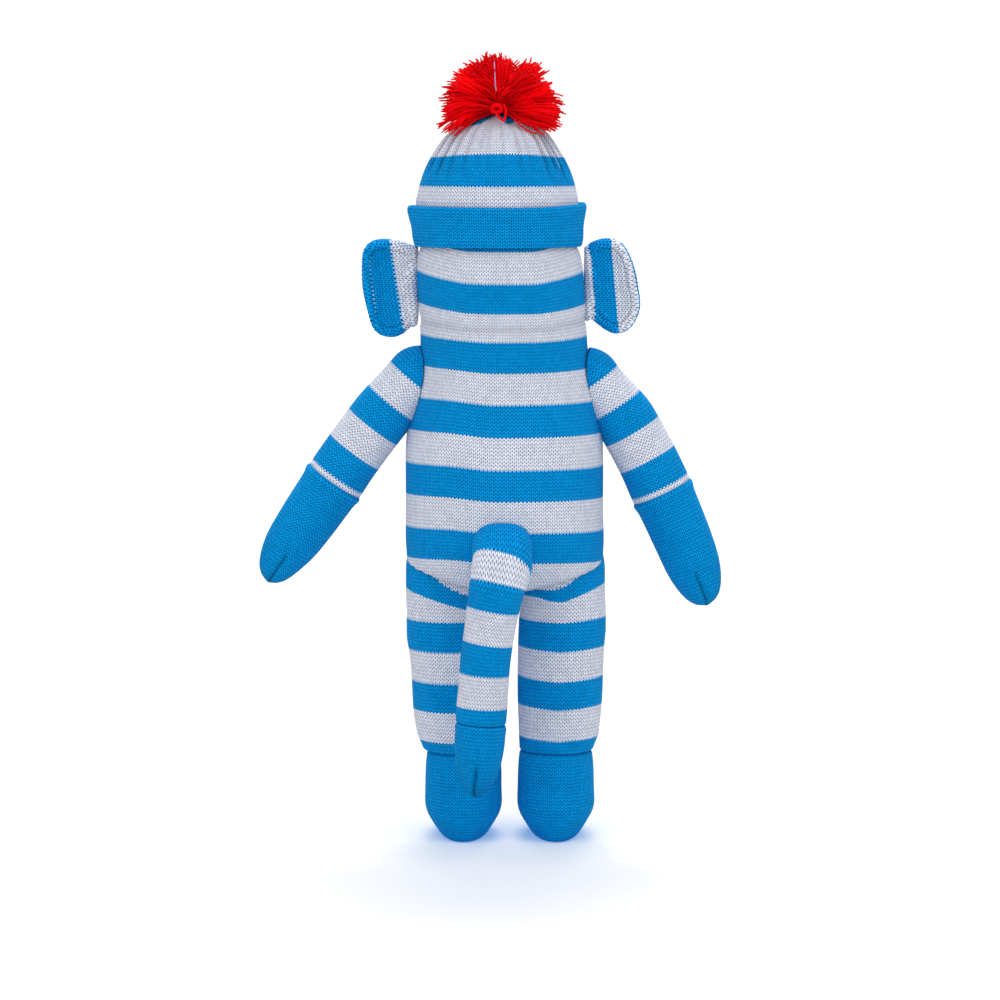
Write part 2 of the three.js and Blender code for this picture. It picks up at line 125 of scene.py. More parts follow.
# Hat: [half width, height] along the crown's outline and round the cuff's section.
CROWN_OUTLINE = [
    (41, 309.5), (41.4, 320), (41.5, 330), (40.5, 336), (39, 342), (36.7, 348.4), (33.3, 355),
    (27.1, 364), (21, 369), (14, 373), (7, 375.4), (2.5, 376.2),
]
CROWN_STRIPES = [305, 322, 338.7, 354.4, 370.6, 388]
CROWN_STITCH_RADIUS = 40
CROWN_COURSE = 1.85
CROWN_PLEATS = 30
CUFF_SECTION = [
    (42.3, 308.3), (42.9, 308), (43.7, 312), (44.1, 318), (44.9, 324), (45.4, 327.6), (45, 329.8),
    (44, 330.5), (43.1, 329.6), (42.8, 326), (42.6, 318), (42.4, 309.4),
]
CUFF_WALES = 118
CUFF_COURSE = 1.77

EAR_THICK = 4.2  # half thickness of an ear's padded rim
EAR_ROOT = 43.6  # the sewn edge, from the ears' own axis
EAR_CENTRE = (54.5, 287)
EAR_AXIS = 2  # how far the ears' own axis stands to the left
# Each ear's outline, [distance, height], from the top of its sewn edge to the bottom.
EAR_OUTLINES = {
    "left": [
        (43.6, 306.8), (48, 308.2), (53, 309.9), (58, 310.6), (63, 310.5), (67.5, 308.8), (70.3, 304.5),
        (70.9, 297), (70.7, 288), (69.4, 280), (67.8, 273.5), (65.8, 267), (62.5, 263.2), (57, 261.8),
        (52, 263), (47, 267), (43.6, 270.8),
    ],
    "right": [
        (43.6, 306.5), (46, 308.5), (50, 310.4), (54.5, 311), (59.5, 310.4), (63.5, 306.4), (66.6, 300),
        (68.7, 293), (69.9, 286), (70.8, 280), (70.4, 274.5), (67.8, 268.5), (64, 264.8), (59.5, 263.6),
        (55, 265), (50.5, 268.2), (46.5, 271.2), (43.6, 272.6),
    ],
}
# Edges of an ear's upright stripes from its sewn edge out, and how far they slant for each mm of height.
EAR_STRIPES = {"left": [30, 53.4, 90], "right": [30, 47.2, 58.6, 69.3, 90]}
EAR_SLANT = {"left": -0.151, "right": 0.09}
EAR_CREASE = 4.2  # from the outline to the crease inside the rim
EAR_WALE = 2.15  # the ears' stitches lie on their side
EAR_COURSE = 1.9
TOPSTITCH_STEP = 2.15
TOPSTITCH_ZONE = (60, 269.5, 303.5)  # least distance out, and between which heights

# Arms, alike in outline: [radius, length from the shoulder]. Each has its own bend and its own inner side.
ARM_OUTLINE = [
    (15.6, 0), (15.4, 35), (15, 65), (14.4, 80), (13.9, 95), (12.9, 111), (10.2, 122), (6.2, 129),
    (0.6, 132),
]
ARM_LENGTH = 132
ARM_STITCH_RADIUS = 15.4
ARM_LEAD = 30  # length of the arm's line before the shoulder
ARM_SEAM = 69.5
ARM_STRIPES = [-14, 2.5, 18.9, 34.5, 50.8, 66.3, 83]
HANDS = {
    "left": {
        "tip": (122.6, 134.4), "shoulder": 40, "hand": 32, "slope": 1.8,
        "inner": [(0, 0), (20, 1.8), (54, 1.6), (75, 0.4), (100, 0.7), (118, 1.9), (132, 1.5)],
    },
    "right": {
        "tip": (105, 122.5), "shoulder": 36, "hand": 19, "slope": 3.8,
        "inner": [(0, 0), (20, 1.8), (50, 1.4), (75, 0), (132, 0)],
    },
}

LEG_RADIUS = 21.7
LEG_STUFFING_INSET = 2.4
LEG_OUTLINE = [(18.9, 45.4), (20.4, 62), (21.3, 80), (21.7, 96), (21.7, 134)]
# Outer side of each leg, from the body's middle: [height, distance].
LEG_SIDES = {
    "left": [
        (44, 41.7), (49, 43.8), (54, 45.8), (66, 47.7), (78, 48.6), (90, 49.4), (97, 50.1), (104, 51.3),
        (134, 51.6),
    ],
    "right": [
        (44, 45.4), (49, 47.1), (54, 49.2), (66, 50.2), (78, 50.9), (90, 51.4), (100, 51.8), (108, 52.5),
        (134, 52),
    ],
}
LEG_LEAN = {"left": 0.089, "right": 0.034}
LEG_GAP = 1.0  # room between the round top of a leg and the seat
# Heights of the stripes' edges on the outer side, behind and on the inner side, from the ankle up.
LEG_STRIPES = {
    "left": [
        (36, 36, 36), (51.7, 51.7, 51.7), (67.6, 67.6, 67.6), (82.8, 82.8, 82.8), (99.3, 99.3, 99.3),
        (115.1, 115.1, 115), (131, 124, 117.5), (149, 132.5, 122.5), (190, 180, 175),
    ],
    "right": [
        (38, 38, 38), (53.6, 52.4, 53.6), (70.4, 69, 70.6), (85.4, 84, 85.4), (101, 99.6, 101),
        (116.3, 115, 115.6), (134, 125.4, 129.8), (148, 132.3, 130.4), (190, 180, 175),
    ],
}
# Booties: [half width, depth behind, depth in front, height] of each level section, from the ankle down.
FOOT_SECTIONS = [
    (18.9, 18.9, 18.9, 45.4), (19.6, 19.6, 19.8, 40), (19.9, 20, 25, 34), (20, 20.2, 34, 28),
    (20.2, 21.4, 41.5, 22), (20.2, 22.5, 44.6, 18), (19.2, 23.3, 45, 13.4), (16.8, 23.5, 43, 8.8),
    (14.4, 23.3, 40, 5), (12.2, 22.6, 36, 2), (9.8, 21, 31, 0.4), (6.5, 14, 20, 0), (2, 4, 8, 0),
]
FOOT_COURSE = 1.75
FOOT_WALES = 0.92  # wales of a bootie for each one of the leg

TAIL_RADIUS = 15.5
TAIL_STITCH_RADIUS = 15
TAIL_LEAD = 12  # length of the tail's line inside the torso
TAIL_DROP = 110  # how far the line runs down below the bend
TAIL_STUFFING_GAP = 2.4  # from the tail's end to its stuffing
TAIL_BEND = 17  # radius of the tail's bend below its root
TAIL_LEAN = [(0, 0.4), (17.5, 4.3), (49, 9), (84, 11.4), (120, 13.9)]  # [below the root, to the left]
TAIL_RISE = 4  # how far the tail leaves the torso above its joint
TAIL_OUTLINE = [
    (15.5, 0), (14.9, 17), (13.5, 31), (13, 45), (12.8, 63), (12.7, 80), (12.8, 95), (12.5, 108),
    (10.2, 121), (5.2, 130.6), (0.6, 133.6),
]
TAIL_STRIPES = [-14, 15.7, 24.1, 37, 54.1, 70.1, 86.7, 103]
TAIL_SEAM = 95.4

# Each yarn has a second, darker colour: painted shade in the gaps between its stitches.
BLUE = (0.0, 0.31, 0.77)
BLUE_GAP_SHADE = (0.0, 0.035, 0.18)
WHITE = (0.76, 0.8, 0.93)
WHITE_GAP_SHADE = (0.2, 0.23, 0.34)
RED = (1.0, 0.0, 0.004)
RED_PLY_SHADE = (0.6, 0, 0.002)
RED_PAINTED_GLOW = 0.07  # painted glow: the red yarn gives off a little light of its own, to look brighter

# ---- numbers


def smooth(value, low, high):
    share = np.clip((value - low) / (high - low), 0, 1)
    return share * share * (3 - 2 * share)


def mix(a, b, share):
    return a + (b - a) * share


def spline(points, per_span=12):
    """A smooth curve through points, as many close points."""
    p = np.array(points, float)
    p = np.vstack([2 * p[0] - p[1], p, 2 * p[-1] - p[-2]])
    t = np.linspace(0, 1, per_span, endpoint=False)[:, None]
    spans = []
    for a, b, c, d in zip(p, p[1:], p[2:], p[3:]):
        spans.append(
            b + t * (c - a) / 2 + t**2 * (a - 2.5 * b + 2 * c - d / 2) + t**3 * (1.5 * (b - c) + (d - a) / 2)
        )
    return np.vstack(spans + [p[-2:-1]])


def lengths_along(curve):
    steps = np.linalg.norm(np.diff(curve, axis=0), axis=1)
    return np.concatenate([[0], np.cumsum(steps)])


def resample(curve, places):
    """The points of a curve at given lengths along it."""
    along = lengths_along(curve)
    return np.stack([np.interp(places, along, curve[:, k]) for k in range(curve.shape[1])], 1)


def table_at(value, table):
    """The second number of a table of pairs, for values of the first."""
    pairs = np.array(table)
    return np.interp(value, pairs[:, 0], pairs[:, 1])


def radius_at(length, outline):
    """The radius at lengths along a smooth outline of [radius, length] points."""
    curve = spline(outline)
    return np.interp(length, curve[:, 1], curve[:, 0])


def stripe_at(place, edges):
    """Stripes counted from the first of their edges."""
    return np.interp(place, edges, range(len(edges)))


def unit(vectors):
    """Vectors brought to a length of one."""
    return vectors / np.maximum(np.linalg.norm(vectors, axis=-1, keepdims=True), 1e-6)


def full_turn(count):
    """Angles of the columns round a piece."""
    return np.linspace(0, 2 * math.pi, count, endpoint=False)


def stitches_round(radius):
    return round(2 * math.pi * radius / WALE)


def wales_at(turns, count, shape):
    """Wales counted round a piece, for each of its places."""
    return np.broadcast_to(turns / (2 * math.pi) * count, shape)


def stations(start, end, step, seam=False):
    """Lengths between start and end, closer together at the start where a seam turns the edge in."""
    places = list(np.linspace(start, end, max(int(round((end - start) / step)), 2) + 1))
    if seam:
        places += [start + offset for offset in (0.35, 0.8, 1.4)]
    return np.array(sorted(set(places)))


def seam_roll(distance, depth=0.9):
    """How far a cover's surface turns in at a distance from its seam."""
    return depth * np.clip(1 - distance / SEAM_ROLL, 0, 1) ** 2


def seam_lip(distance, height):
    """How far a cover swells just beyond its seam."""
    return height * np.exp(-((distance - 1.6) / 2.2) ** 2)


def lumps(places, size, depth, seed):
    """Soft unevenness of stuffing under a cover: a depth for each place."""
    flat = places.reshape(-1, 3) / size + seed * 7.3
    values = [noise.noise(Vector(point)) for point in flat]
    return depth * np.array(values).reshape(places.shape[:-1])


def columns(circumference, step=STEP):
    return max(int(round(circumference / step)), 12)


# ---- meshes


def new_object(name, vertices, faces):
    mesh = bpy.data.meshes.new(name)
    mesh.from_pydata([frame_point(*v) for v in vertices], [], faces)
    mesh.update()
    mesh.polygons.foreach_set("use_smooth", [True] * len(mesh.polygons))
    piece = bpy.data.objects.new(name, mesh)
    bpy.context.scene.collection.objects.link(piece)
    return piece


def add_values(piece, label, values):
    attribute = piece.data.attributes.new(label, "FLOAT", "POINT")
    attribute.data.foreach_set("value", np.concatenate(values).astype(np.float32))


def grid(name, places, knit=None, stripe=None, shaded_crease=None, outside=1, caps=(False, False), turning=True):
    """A mesh from rows of places, each row closed round, with stitches laid over it.

    knit is (wales, courses) for each place, where the wales run on past the last column; a piece that is
    not knitted has none. stripe counts the stripes from the bottom, and the crease mask is 1 in a seam, fold
    or pleat, where it darkens the knit as painted shade. outside is -1 where the rows run downwards. turning
    is False where the wales lie across the piece and so don't run on round it."""
    rows, around = places.shape[:2]
    wales, courses = knit or np.zeros((2, rows, around))
    vertices = places.reshape(-1, 3)
    faces, coordinates = [], []
    turn = wales[:, -1] + (wales[:, -1] - wales[:, -2]) if turning else wales[:, 0]

    def at(i, j):
        return i * around + j % around

    def stitch(i, j):
        return (turn[i] if j == around else wales[i, j], courses[i, j % around])

    for i in range(rows - 1):
        for j in range(around):
            corners = [(i, j), (i, j + 1), (i + 1, j + 1), (i + 1, j)][::outside]
            faces.append([at(*corner) for corner in corners])
            coordinates += [stitch(*corner) for corner in corners]
    ends = [k for k, closed in zip((0, rows - 1), caps) if closed]
    extra = {"stripe": [], "shaded_crease": []}
    for i in ends:
        middle = len(vertices)
        vertices = np.vstack([vertices, places[i].mean(0)])
        for j in range(around):
            forward = (i == 0) == (outside == 1)
            corners = [(i, j + 1), (i, j)] if forward else [(i, j), (i, j + 1)]
            faces.append([middle] + [at(*corner) for corner in corners])
            coordinates += [stitch(i, j)] + [stitch(*corner) for corner in corners]
        extra["stripe"].append(0 if stripe is None else stripe[i].mean())
        extra["shaded_crease"].append(0 if shaded_crease is None else shaded_crease[i].mean())
    piece = new_object(name, vertices, faces)
    layer = piece.data.uv_layers.new(name="Knit")
    layer.data.foreach_set("uv", np.array(coordinates, np.float32).ravel())
    for label, values in (("stripe", stripe), ("shaded_crease", shaded_crease)):
        flat = np.zeros(rows * around) if values is None else values.ravel()
        add_values(piece, label, [flat, extra[label]])
    return piece


def with_modifiers_applied(piece):
    depsgraph = bpy.context.evaluated_depsgraph_get()
    made = bpy.data.meshes.new_from_object(piece.evaluated_get(depsgraph))
    piece.modifiers.clear()
    piece.data = made
    return piece


def thicken(piece, thickness=KNIT):
    """Gives a cover its inside face, with its edges closed."""
    solid = piece.modifiers.new("thickness", "SOLIDIFY")
    solid.thickness = thickness * MM
    solid.offset = -1
    return with_modifiers_applied(piece)


def tube(path, radius, sides=8, tone=1.0):
    """A closed round tube along a path, as (vertices, faces, lengths along it, tone) for join_tubes."""
    path = np.array(path, float)
    count = len(path)
    radii = np.broadcast_to(radius, count)
    ahead = unit(np.gradient(path, axis=0))
    across = np.cross(ahead[0], (0.31, 0.52, 0.8))
    vertices = []
    for k in range(count):
        across = across - ahead[k] * np.dot(across, ahead[k])
        across /= np.linalg.norm(across)
        beside = np.cross(ahead[k], across)
        for j in range(sides):
            angle = 2 * math.pi * j / sides
            vertices.append(path[k] + radii[k] * (math.cos(angle) * across + math.sin(angle) * beside))
    faces = []
    for k in range(count - 1):
        for j in range(sides):
            after = (j + 1) % sides
            faces.append((k * sides + j, k * sides + after, (k + 1) * sides + after, (k + 1) * sides + j))
    faces.append(tuple(range(sides))[::-1])
    faces.append(tuple((count - 1) * sides + j for j in range(sides)))
    along = np.repeat(lengths_along(path), sides)
    return np.array(vertices), faces, along, tone


def join_tubes(name, tubes):
    """One mesh from many tubes, with their tone and the length along them for the yarn's material."""
    vertices, faces, along, tone = [], [], [], []
    start = 0
    for points, sides, lengths, shade in tubes:
        vertices.append(points)
        faces += [tuple(start + index for index in face) for face in sides]
        along.append(lengths)
        tone.append(np.full(len(points), shade))
        start += len(points)
    piece = new_object(name, np.vstack(vertices), faces)
    add_values(piece, "along", along)
    add_values(piece, "tone", tone)
    return piece


# ---- materials


class Tree:
    """A material's node tree, with short ways to add nodes."""

    def __init__(self, name):
        self.material = bpy.data.materials.new(name)
        self.material.use_nodes = True
        self.tree = self.material.node_tree
        self.shader = self.tree.nodes["Principled BSDF"]

    def add(self, kind, inputs=(), **settings):
        made = self.tree.nodes.new(kind)
        for key, value in settings.items():
            setattr(made, key, value)
        for key, value in dict(inputs).items():
            self.set(made.inputs[key], value)
        return made

    def set(self, socket, value):
        if isinstance(value, bpy.types.NodeSocket):
            self.tree.links.new(value, socket)
        else:
            socket.default_value = value

    def math(self, operation, *values, clamp=False):
        made = self.add("ShaderNodeMath", operation=operation, use_clamp=clamp)
        for socket, value in zip(made.inputs, values):
            self.set(socket, value)
        return made.outputs[0]

    def mixed(self, share, a, b, blend="MIX"):
        made = self.add("ShaderNodeMix", data_type="RGBA", blend_type=blend)
        for key, value in ((0, share), (6, a), (7, b)):
            if isinstance(value, tuple):
                value = (*value, 1)
            self.set(made.inputs[key], value)
        return made.outputs[2]

    def attribute(self, name):
        return self.add("ShaderNodeAttribute", attribute_name=name).outputs["Fac"]

    def grey(self, value):
        """A number as a grey colour."""
        return self.add("ShaderNodeCombineColor", {"Red": value, "Green": value, "Blue": value}).outputs[0]

    def noise(self, place, scale, detail, **more):
        inputs = {"Vector": place, "Scale": scale, "Detail": detail, **more}
        return self.add("ShaderNodeTexNoise", inputs).outputs["Fac"]

    def bump(self, height, strength, distance):
        """A normal from heights; the distance is in millimetres."""
        inputs = {"Height": height, "Strength": strength, "Distance": distance * MM}
        return self.add("ShaderNodeBump", inputs).outputs[0]

    def surface(self, **inputs):
        """Sets the shader's inputs, named with _ for a space."""
        for key, value in inputs.items():
            self.set(self.shader.inputs[key.replace("_", " ")], value)


def knit_material(name, yarns, tooth=0.62, depth=0.95):
    """Plain jersey knit. yarns are one or two (colour, painted shade of the gaps between stitches); two make
    stripes.

    tooth is how far a stitch's two legs slant, in courses, and depth how dark the painted shade in the gaps
    is."""
    t = Tree(name)
    place = t.add("ShaderNodeUVMap", uv_map="Knit").outputs[0]
    split = t.add("ShaderNodeSeparateXYZ", {"Vector": place})
    wale, row = split.outputs[0], split.outputs[1]
    side = t.math("MULTIPLY", t.math("ABSOLUTE", t.math("SUBTRACT", t.math("FRACT", wale), 0.5)), 2)
    lifted = t.math("SUBTRACT", row, t.math("MULTIPLY", side, tooth))
    off_leg = t.math("ABSOLUTE", t.math("SUBTRACT", t.math("MULTIPLY", t.math("FRACT", lifted), 2), 1))
    off_wale = t.math("ABSOLUTE", t.math("SUBTRACT", t.math("MULTIPLY", side, 2), 1))
    round_leg = t.math("SUBTRACT", 1, t.math("POWER", off_leg, 2))
    round_wale = t.math("SUBTRACT", 1, t.math("POWER", off_wale, 2))
    # The gaps between the stitches' legs and the grooves between courses get painted shade.
    corner = t.math("SUBTRACT", t.math("ADD", off_leg, off_wale), 1.1)
    hole = t.math("POWER", t.math("DIVIDE", corner, 0.62, clamp=True), 1.2)
    groove = t.math("MULTIPLY", t.math("POWER", off_leg, 5), 0.22)
    gap = t.math("ADD", t.math("MULTIPLY", hole, depth), groove, clamp=True)

    corners = {"X": t.math("FLOOR", wale), "Y": t.math("FLOOR", lifted)}
    stitch = t.add("ShaderNodeCombineXYZ", corners).outputs[0]
    each = t.add("ShaderNodeTexWhiteNoise", {"Vector": stitch}, noise_dimensions="2D").outputs["Value"]
    broad = t.noise(place, 0.09, 3)
    fibre = t.noise(place, 5.5, 3)
    tone = t.math("ADD", 0.7, t.math("MULTIPLY", each, 0.16))
    tone = t.math("ADD", tone, t.math("MULTIPLY", broad, 0.14))
    tone = t.math("ADD", tone, t.math("MULTIPLY", fibre, 0.12))
    # Painted highlight: the rounded middle of each stitch's legs is made lighter.
    tone = t.math("ADD", tone, t.math("MULTIPLY", t.math("MULTIPLY", round_leg, round_wale), 0.3))
    # Painted shade in seams, folds and pleats: the knit darkens where the crease mask is 1.
    tone = t.math("MULTIPLY", tone, t.math("SUBTRACT", 1, t.math("MULTIPLY", t.attribute("shaded_crease"), 0.6)))

    yarn, hollow = yarns[0]
    if len(yarns) == 2:
        offset = t.math("MULTIPLY", t.math("SUBTRACT", side, 0.5), tooth / STRIPE_COURSES)
        index = t.math("SUBTRACT", t.attribute("stripe"), offset)
        first = t.math("LESS_THAN", t.math("FLOORED_MODULO", index, 2), 1)
        yarn = t.mixed(first, yarns[1][0], yarns[0][0])
        hollow = t.mixed(first, yarns[1][1], yarns[0][1])
    # The gaps take the yarn's painted shade colour.
    colour = t.mixed(gap, yarn, hollow)
    colour = t.mixed(1.0, colour, t.grey(tone), "MULTIPLY")

    height = t.math("ADD", t.math("SQRT", round_leg), t.math("MULTIPLY", t.math("SQRT", round_wale), 0.6))
    height = t.math("ADD", height, t.math("MULTIPLY", fibre, 0.35))
    roughness = t.math("ADD", 0.8, t.math("MULTIPLY", fibre, 0.2))
    t.surface(Base_Color=colour, Normal=t.bump(height, 1.0, 0.42), Roughness=roughness)
    t.surface(Specular_IOR_Level=0.04, Sheen_Weight=0.04, Sheen_Roughness=0.45, Sheen_Tint=(0.3, 0.7, 1, 1))
    return t.material


def yarn_material(name, colour, dark, ply=1.1, fuzz=0.25, glow=0.0, deep=1.0):
    """Twisted yarn: plies wind round it with painted shade in their grooves, each strand has its own tone,
    and deep is the painted shade near the tie, in the pom-pom's crowded core.

    ply is the length of one twist in millimetres."""
    t = Tree(name)
    along = t.attribute("along")
    place = t.add("ShaderNodeTexCoord").outputs["Object"]
    fibre = t.noise(place, 2600, 2)
    phase = t.math("ADD", t.math("MULTIPLY", along, 2 * math.pi / ply), t.math("MULTIPLY", fibre, 5))
    wave = t.math("ADD", 0.5, t.math("MULTIPLY", t.math("SINE", phase), 0.5))
    # Painted shade in the grooves between the plies: the yarn darkens towards its dark colour there.
    share = t.math("MULTIPLY", t.math("SUBTRACT", 1, wave), 0.3)
    base = t.mixed(share, colour, dark)
    tone = t.math("MULTIPLY", t.attribute("tone"), t.math("ADD", 0.85, t.math("MULTIPLY", fibre, 0.3)))
    # Painted shade near the tie: the strands darken towards the pom-pom's core.
    near_tie = t.math("MULTIPLY", t.math("DIVIDE", along, 16, clamp=True), 1 - deep)
    tone = t.math("MULTIPLY", tone, t.math("ADD", deep, near_tie))
    base = t.mixed(1.0, base, t.grey(tone), "MULTIPLY")
    roughness = t.math("ADD", 0.65, t.math("MULTIPLY", fibre, 0.25))
    t.surface(Base_Color=base, Normal=t.bump(wave, 0.5, 0.15), Roughness=roughness)
    t.surface(Specular_IOR_Level=0.06, Sheen_Weight=fuzz, Sheen_Roughness=0.5, Sheen_Tint=(*colour, 1))
    # Painted glow: with glow above 0 the yarn gives off light of its own.
    t.surface(Emission_Color=base, Emission_Strength=glow)
    return t.material


def fibre_material(name):
    """Loose polyester fibre."""
    t = Tree(name)
    place = t.add("ShaderNodeTexCoord").outputs["Object"]
    strands = t.noise(place, 420, 6, Distortion=2.5)
    shade = t.mixed(strands, (0.6, 0.6, 0.58), (0.95, 0.95, 0.93))
    t.surface(Base_Color=shade, Normal=t.bump(strands, 0.9, 1.2), Roughness=0.95, Sheen_Weight=0.4)
    return t.material


def plastic_material(name, colour, roughness, grain):
    """Moulded plastic with fine scuffs that show in its gloss."""
    t = Tree(name)
    place = t.add("ShaderNodeTexCoord").outputs["Object"]
    scuffs = t.noise(place, 900, 4)
    shade = t.mixed(scuffs, tuple(0.8 * c for c in colour), colour)
    gloss = t.math("ADD", roughness, t.math("MULTIPLY", scuffs, grain))
    t.surface(Base_Color=shade, Normal=t.bump(scuffs, 0.12, 0.05), Roughness=gloss)
    return t.material


STRIPED = knit_material("striped_knit", [(BLUE, BLUE_GAP_SHADE), (WHITE, WHITE_GAP_SHADE)])
SOLID_BLUE = knit_material("blue_knit", [(BLUE, BLUE_GAP_SHADE)])
CUFF_BLUE = knit_material("cuff_knit", [(tuple(1.02 * c for c in BLUE), BLUE_GAP_SHADE)], tooth=0.55, depth=1.15)
SOLID_WHITE = knit_material("white_knit", [(WHITE, WHITE_GAP_SHADE)])
RED_YARN = yarn_material("red_yarn", RED, RED_PLY_SHADE, glow=RED_PAINTED_GLOW)
POMPOM_YARN = yarn_material("pompom_yarn", RED, RED_PLY_SHADE, glow=RED_PAINTED_GLOW, deep=0.45)
BLACK_THREAD = yarn_material("black_thread", (0.012, 0.012, 0.014), (0.003, 0.003, 0.004), ply=0.6)
PALE_THREAD = yarn_material("pale_thread", (0.36, 0.38, 0.62), (0.2, 0.2, 0.4), ply=0.6, fuzz=0)
WHITE_THREAD = yarn_material("white_thread", (0.86, 0.89, 0.97), (0.6, 0.65, 0.8), ply=0.6, fuzz=0)
FIBRE = fibre_material("stuffing")
EYE_PLASTIC = plastic_material("eye_plastic", (0.006, 0.006, 0.007), 0.06, 0.06)
WASHER_PLASTIC = plastic_material("washer_plastic", (0.8, 0.8, 0.76), 0.4, 0.2)


def finish_piece(piece, material, nodes=()):
    """Gives a piece its material and hides the CAD nodes it stands for."""
    piece.data.materials.clear()
    piece.data.materials.append(material)
    if nodes:
        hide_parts(*nodes)
    return piece


# ---- body and head


def lean(height):
    return HEAD_SHIFT * smooth(height, 230, 330)


def depth_share(height, back):
    """Depth over width of the body at a height, in front or behind."""
    share = mix(TORSO_DEPTH, HEAD_DEPTH, smooth(height, 225, 270))
    belly = mix(BELLY_TAPER[0], 1, smooth(height, *BELLY_TAPER[1:]))
    seat = mix(SEAT_TAPER[0], 1, smooth(height, *SEAT_TAPER[1:]))
    return share * np.where(back, seat, belly)


BODY_CURVE = spline(BODY_OUTLINE)
CROWN_CURVE = spline(CROWN_OUTLINE)


def half_width(height):
    """The body's half width at a height above the turn of the seat."""
    wall = BODY_CURVE[BODY_CURVE[:, 1] >= 137]
    return np.interp(height, wall[:, 1], wall[:, 0])


def body_surface_y(x, height, back=True):
    """Distance of the body's surface behind or before its axis."""
    width = half_width(height)
    return width * depth_share(height, back) * np.sqrt(np.clip(1 - ((x - lean(height)) / width) ** 2, 0, 1))


def body_surface_x(y, height):
    """Distance of the body's surface to the side of its leaning axis."""
    width = half_width(height)
    deep = width * depth_share(height, y > 0)
    return width * np.sqrt(np.clip(1 - (y / deep) ** 2, 0, 1))


def around_body(curve, turns):
    """Rows of places round the body's oval, from [half width, height] points and angles."""
    radius, height = curve[:, :1], curve[:, 1:2]
    angle = turns[None, :]
    x = radius * np.cos(angle) + lean(height)
    y = radius * np.sin(angle) * depth_share(height, np.sin(angle) > 0)
    return np.stack([x, y, np.broadcast_to(height, x.shape)], 2)


def outward(places, curve):
    """Directions away from the body's surface, for rows made by around_body."""
    slope = unit(np.gradient(curve, axis=0))
    centre = np.stack([lean(places[..., 2]), np.zeros(places.shape[:2]), places[..., 2]], 2)
    normal = unit(places - centre) * slope[:, 1][:, None, None]
    normal[..., 2] -= slope[:, 0][:, None]
    return normal


def seat_roof(x, y, clearance):
    """Height below which the legs need room, where they stand and when they fold forward."""
    hip_height = joint_place("hip_left")[2]
    radius = LEG_RADIUS + clearance
    roof = np.where(y < 0, hip_height, -1e3)
    for name, _ in SIDES:
        hip = joint_place(f"hip_{name}")
        beside = x - hip[0]
        distance = np.where(y < 0, np.abs(beside), np.hypot(beside, y))
        dome = hip[2] + np.sqrt(np.clip(radius**2 - distance**2, 0, None))
        roof = np.maximum(roof, np.where(distance < radius, dome, -1e3))
    return roof


def body_stripe(places):
    """Stripes counted from the seat up."""
    height = places[..., 2]
    behind = np.clip(places[..., 1] / (half_width(height) * TORSO_DEPTH), 0, 1) ** 2
    rise = table_at(height, STRIPE_RISE) * smooth(places[..., 0], 4, 32)
    return stripe_at(height + table_at(height, STRIPE_DIP) * behind - rise, BODY_STRIPES)


def body_rows(inset, step, lump_depth, seed):
    """Rows of places over the body, moved in by a depth, with the columns' angles and the neck's crease."""
    along = lengths_along(BODY_CURVE)
    curve = resample(BODY_CURVE, stations(2, along[-1], step))
    turns = full_turn(columns(2 * math.pi * BODY_MESH_RADIUS, step))
    places = around_body(curve, turns)
    normal = outward(places, curve)
    height = places[..., 2]
    behind = np.clip(np.sin(turns), 0, 1)[None, :] ** 2
    crease_height = NECK_CREASE - 3.6 * behind
    groove = np.exp(-(((height - crease_height) / 1.7) ** 2)) * smooth(height, 200, 240)
    upright = smooth(height, 150, 175)
    move = lumps(places, 34, lump_depth, seed) * (0.35 + 0.65 * upright) - 0.8 * groove - inset
    places = places + normal * move[..., None]
    roof = seat_roof(places[..., 0], places[..., 1], LEG_GAP + inset)
    low = places[..., 2] < roof
    places[..., 2] = np.where(low, roof, places[..., 2])
    return places, turns, groove


def make_body():
    places, turns, groove = body_rows(0, STEP, 1.0, 1)
    stripe = body_stripe(places)
    wales = wales_at(turns, stitches_round(BODY_STITCH_RADIUS), places.shape[:2])
    knit = (wales, stripe * STRIPE_COURSES)
    # The neck's groove, at 0.3, also darkens the knit as painted shade.
    cover = grid("body_cover_knit", places, knit, stripe, groove * 0.3, caps=(True, False))
    thicken(cover)
    finish_piece(cover, STRIPED, ["body_cover"])
    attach(cover, "torso")
    filling, _, _ = body_rows(STUFFING_INSET, 5, 2.2, 2)
    stuffing = grid("body_stuffing_fibre", filling, caps=(True, True))
    finish_piece(stuffing, FIBRE, ["body_stuffing"])
    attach(stuffing, "torso")


# ---- hat


def pleat_depth(places, turns):
    """Folds gathered in towards the pom-pom, deepest at the hat's two sides."""
    height = places[..., 2]
    gathered = smooth(height, 326, 350) * (1 - 0.5 * smooth(height, 366, 376))
    depth = np.zeros(places.shape[:2])
    random = np.random.default_rng(11)
    for k in range(CROWN_PLEATS):
        angle = (k + random.uniform(-0.28, 0.28)) * 2 * math.pi / CROWN_PLEATS
        beside = abs(math.cos(angle)) ** 3
        strength = 0.35 + 1.9 * beside + random.uniform(-0.15, 0.3)
        away = np.angle(np.exp(1j * (turns - angle)))[None, :]
        width = mix(0.04, 0.075, smooth(height, 335, 374))
        start = smooth(height, 330 + random.uniform(0, 12), 352)
        depth += strength * np.exp(-((away / width) ** 2)) * gathered * start
    return depth


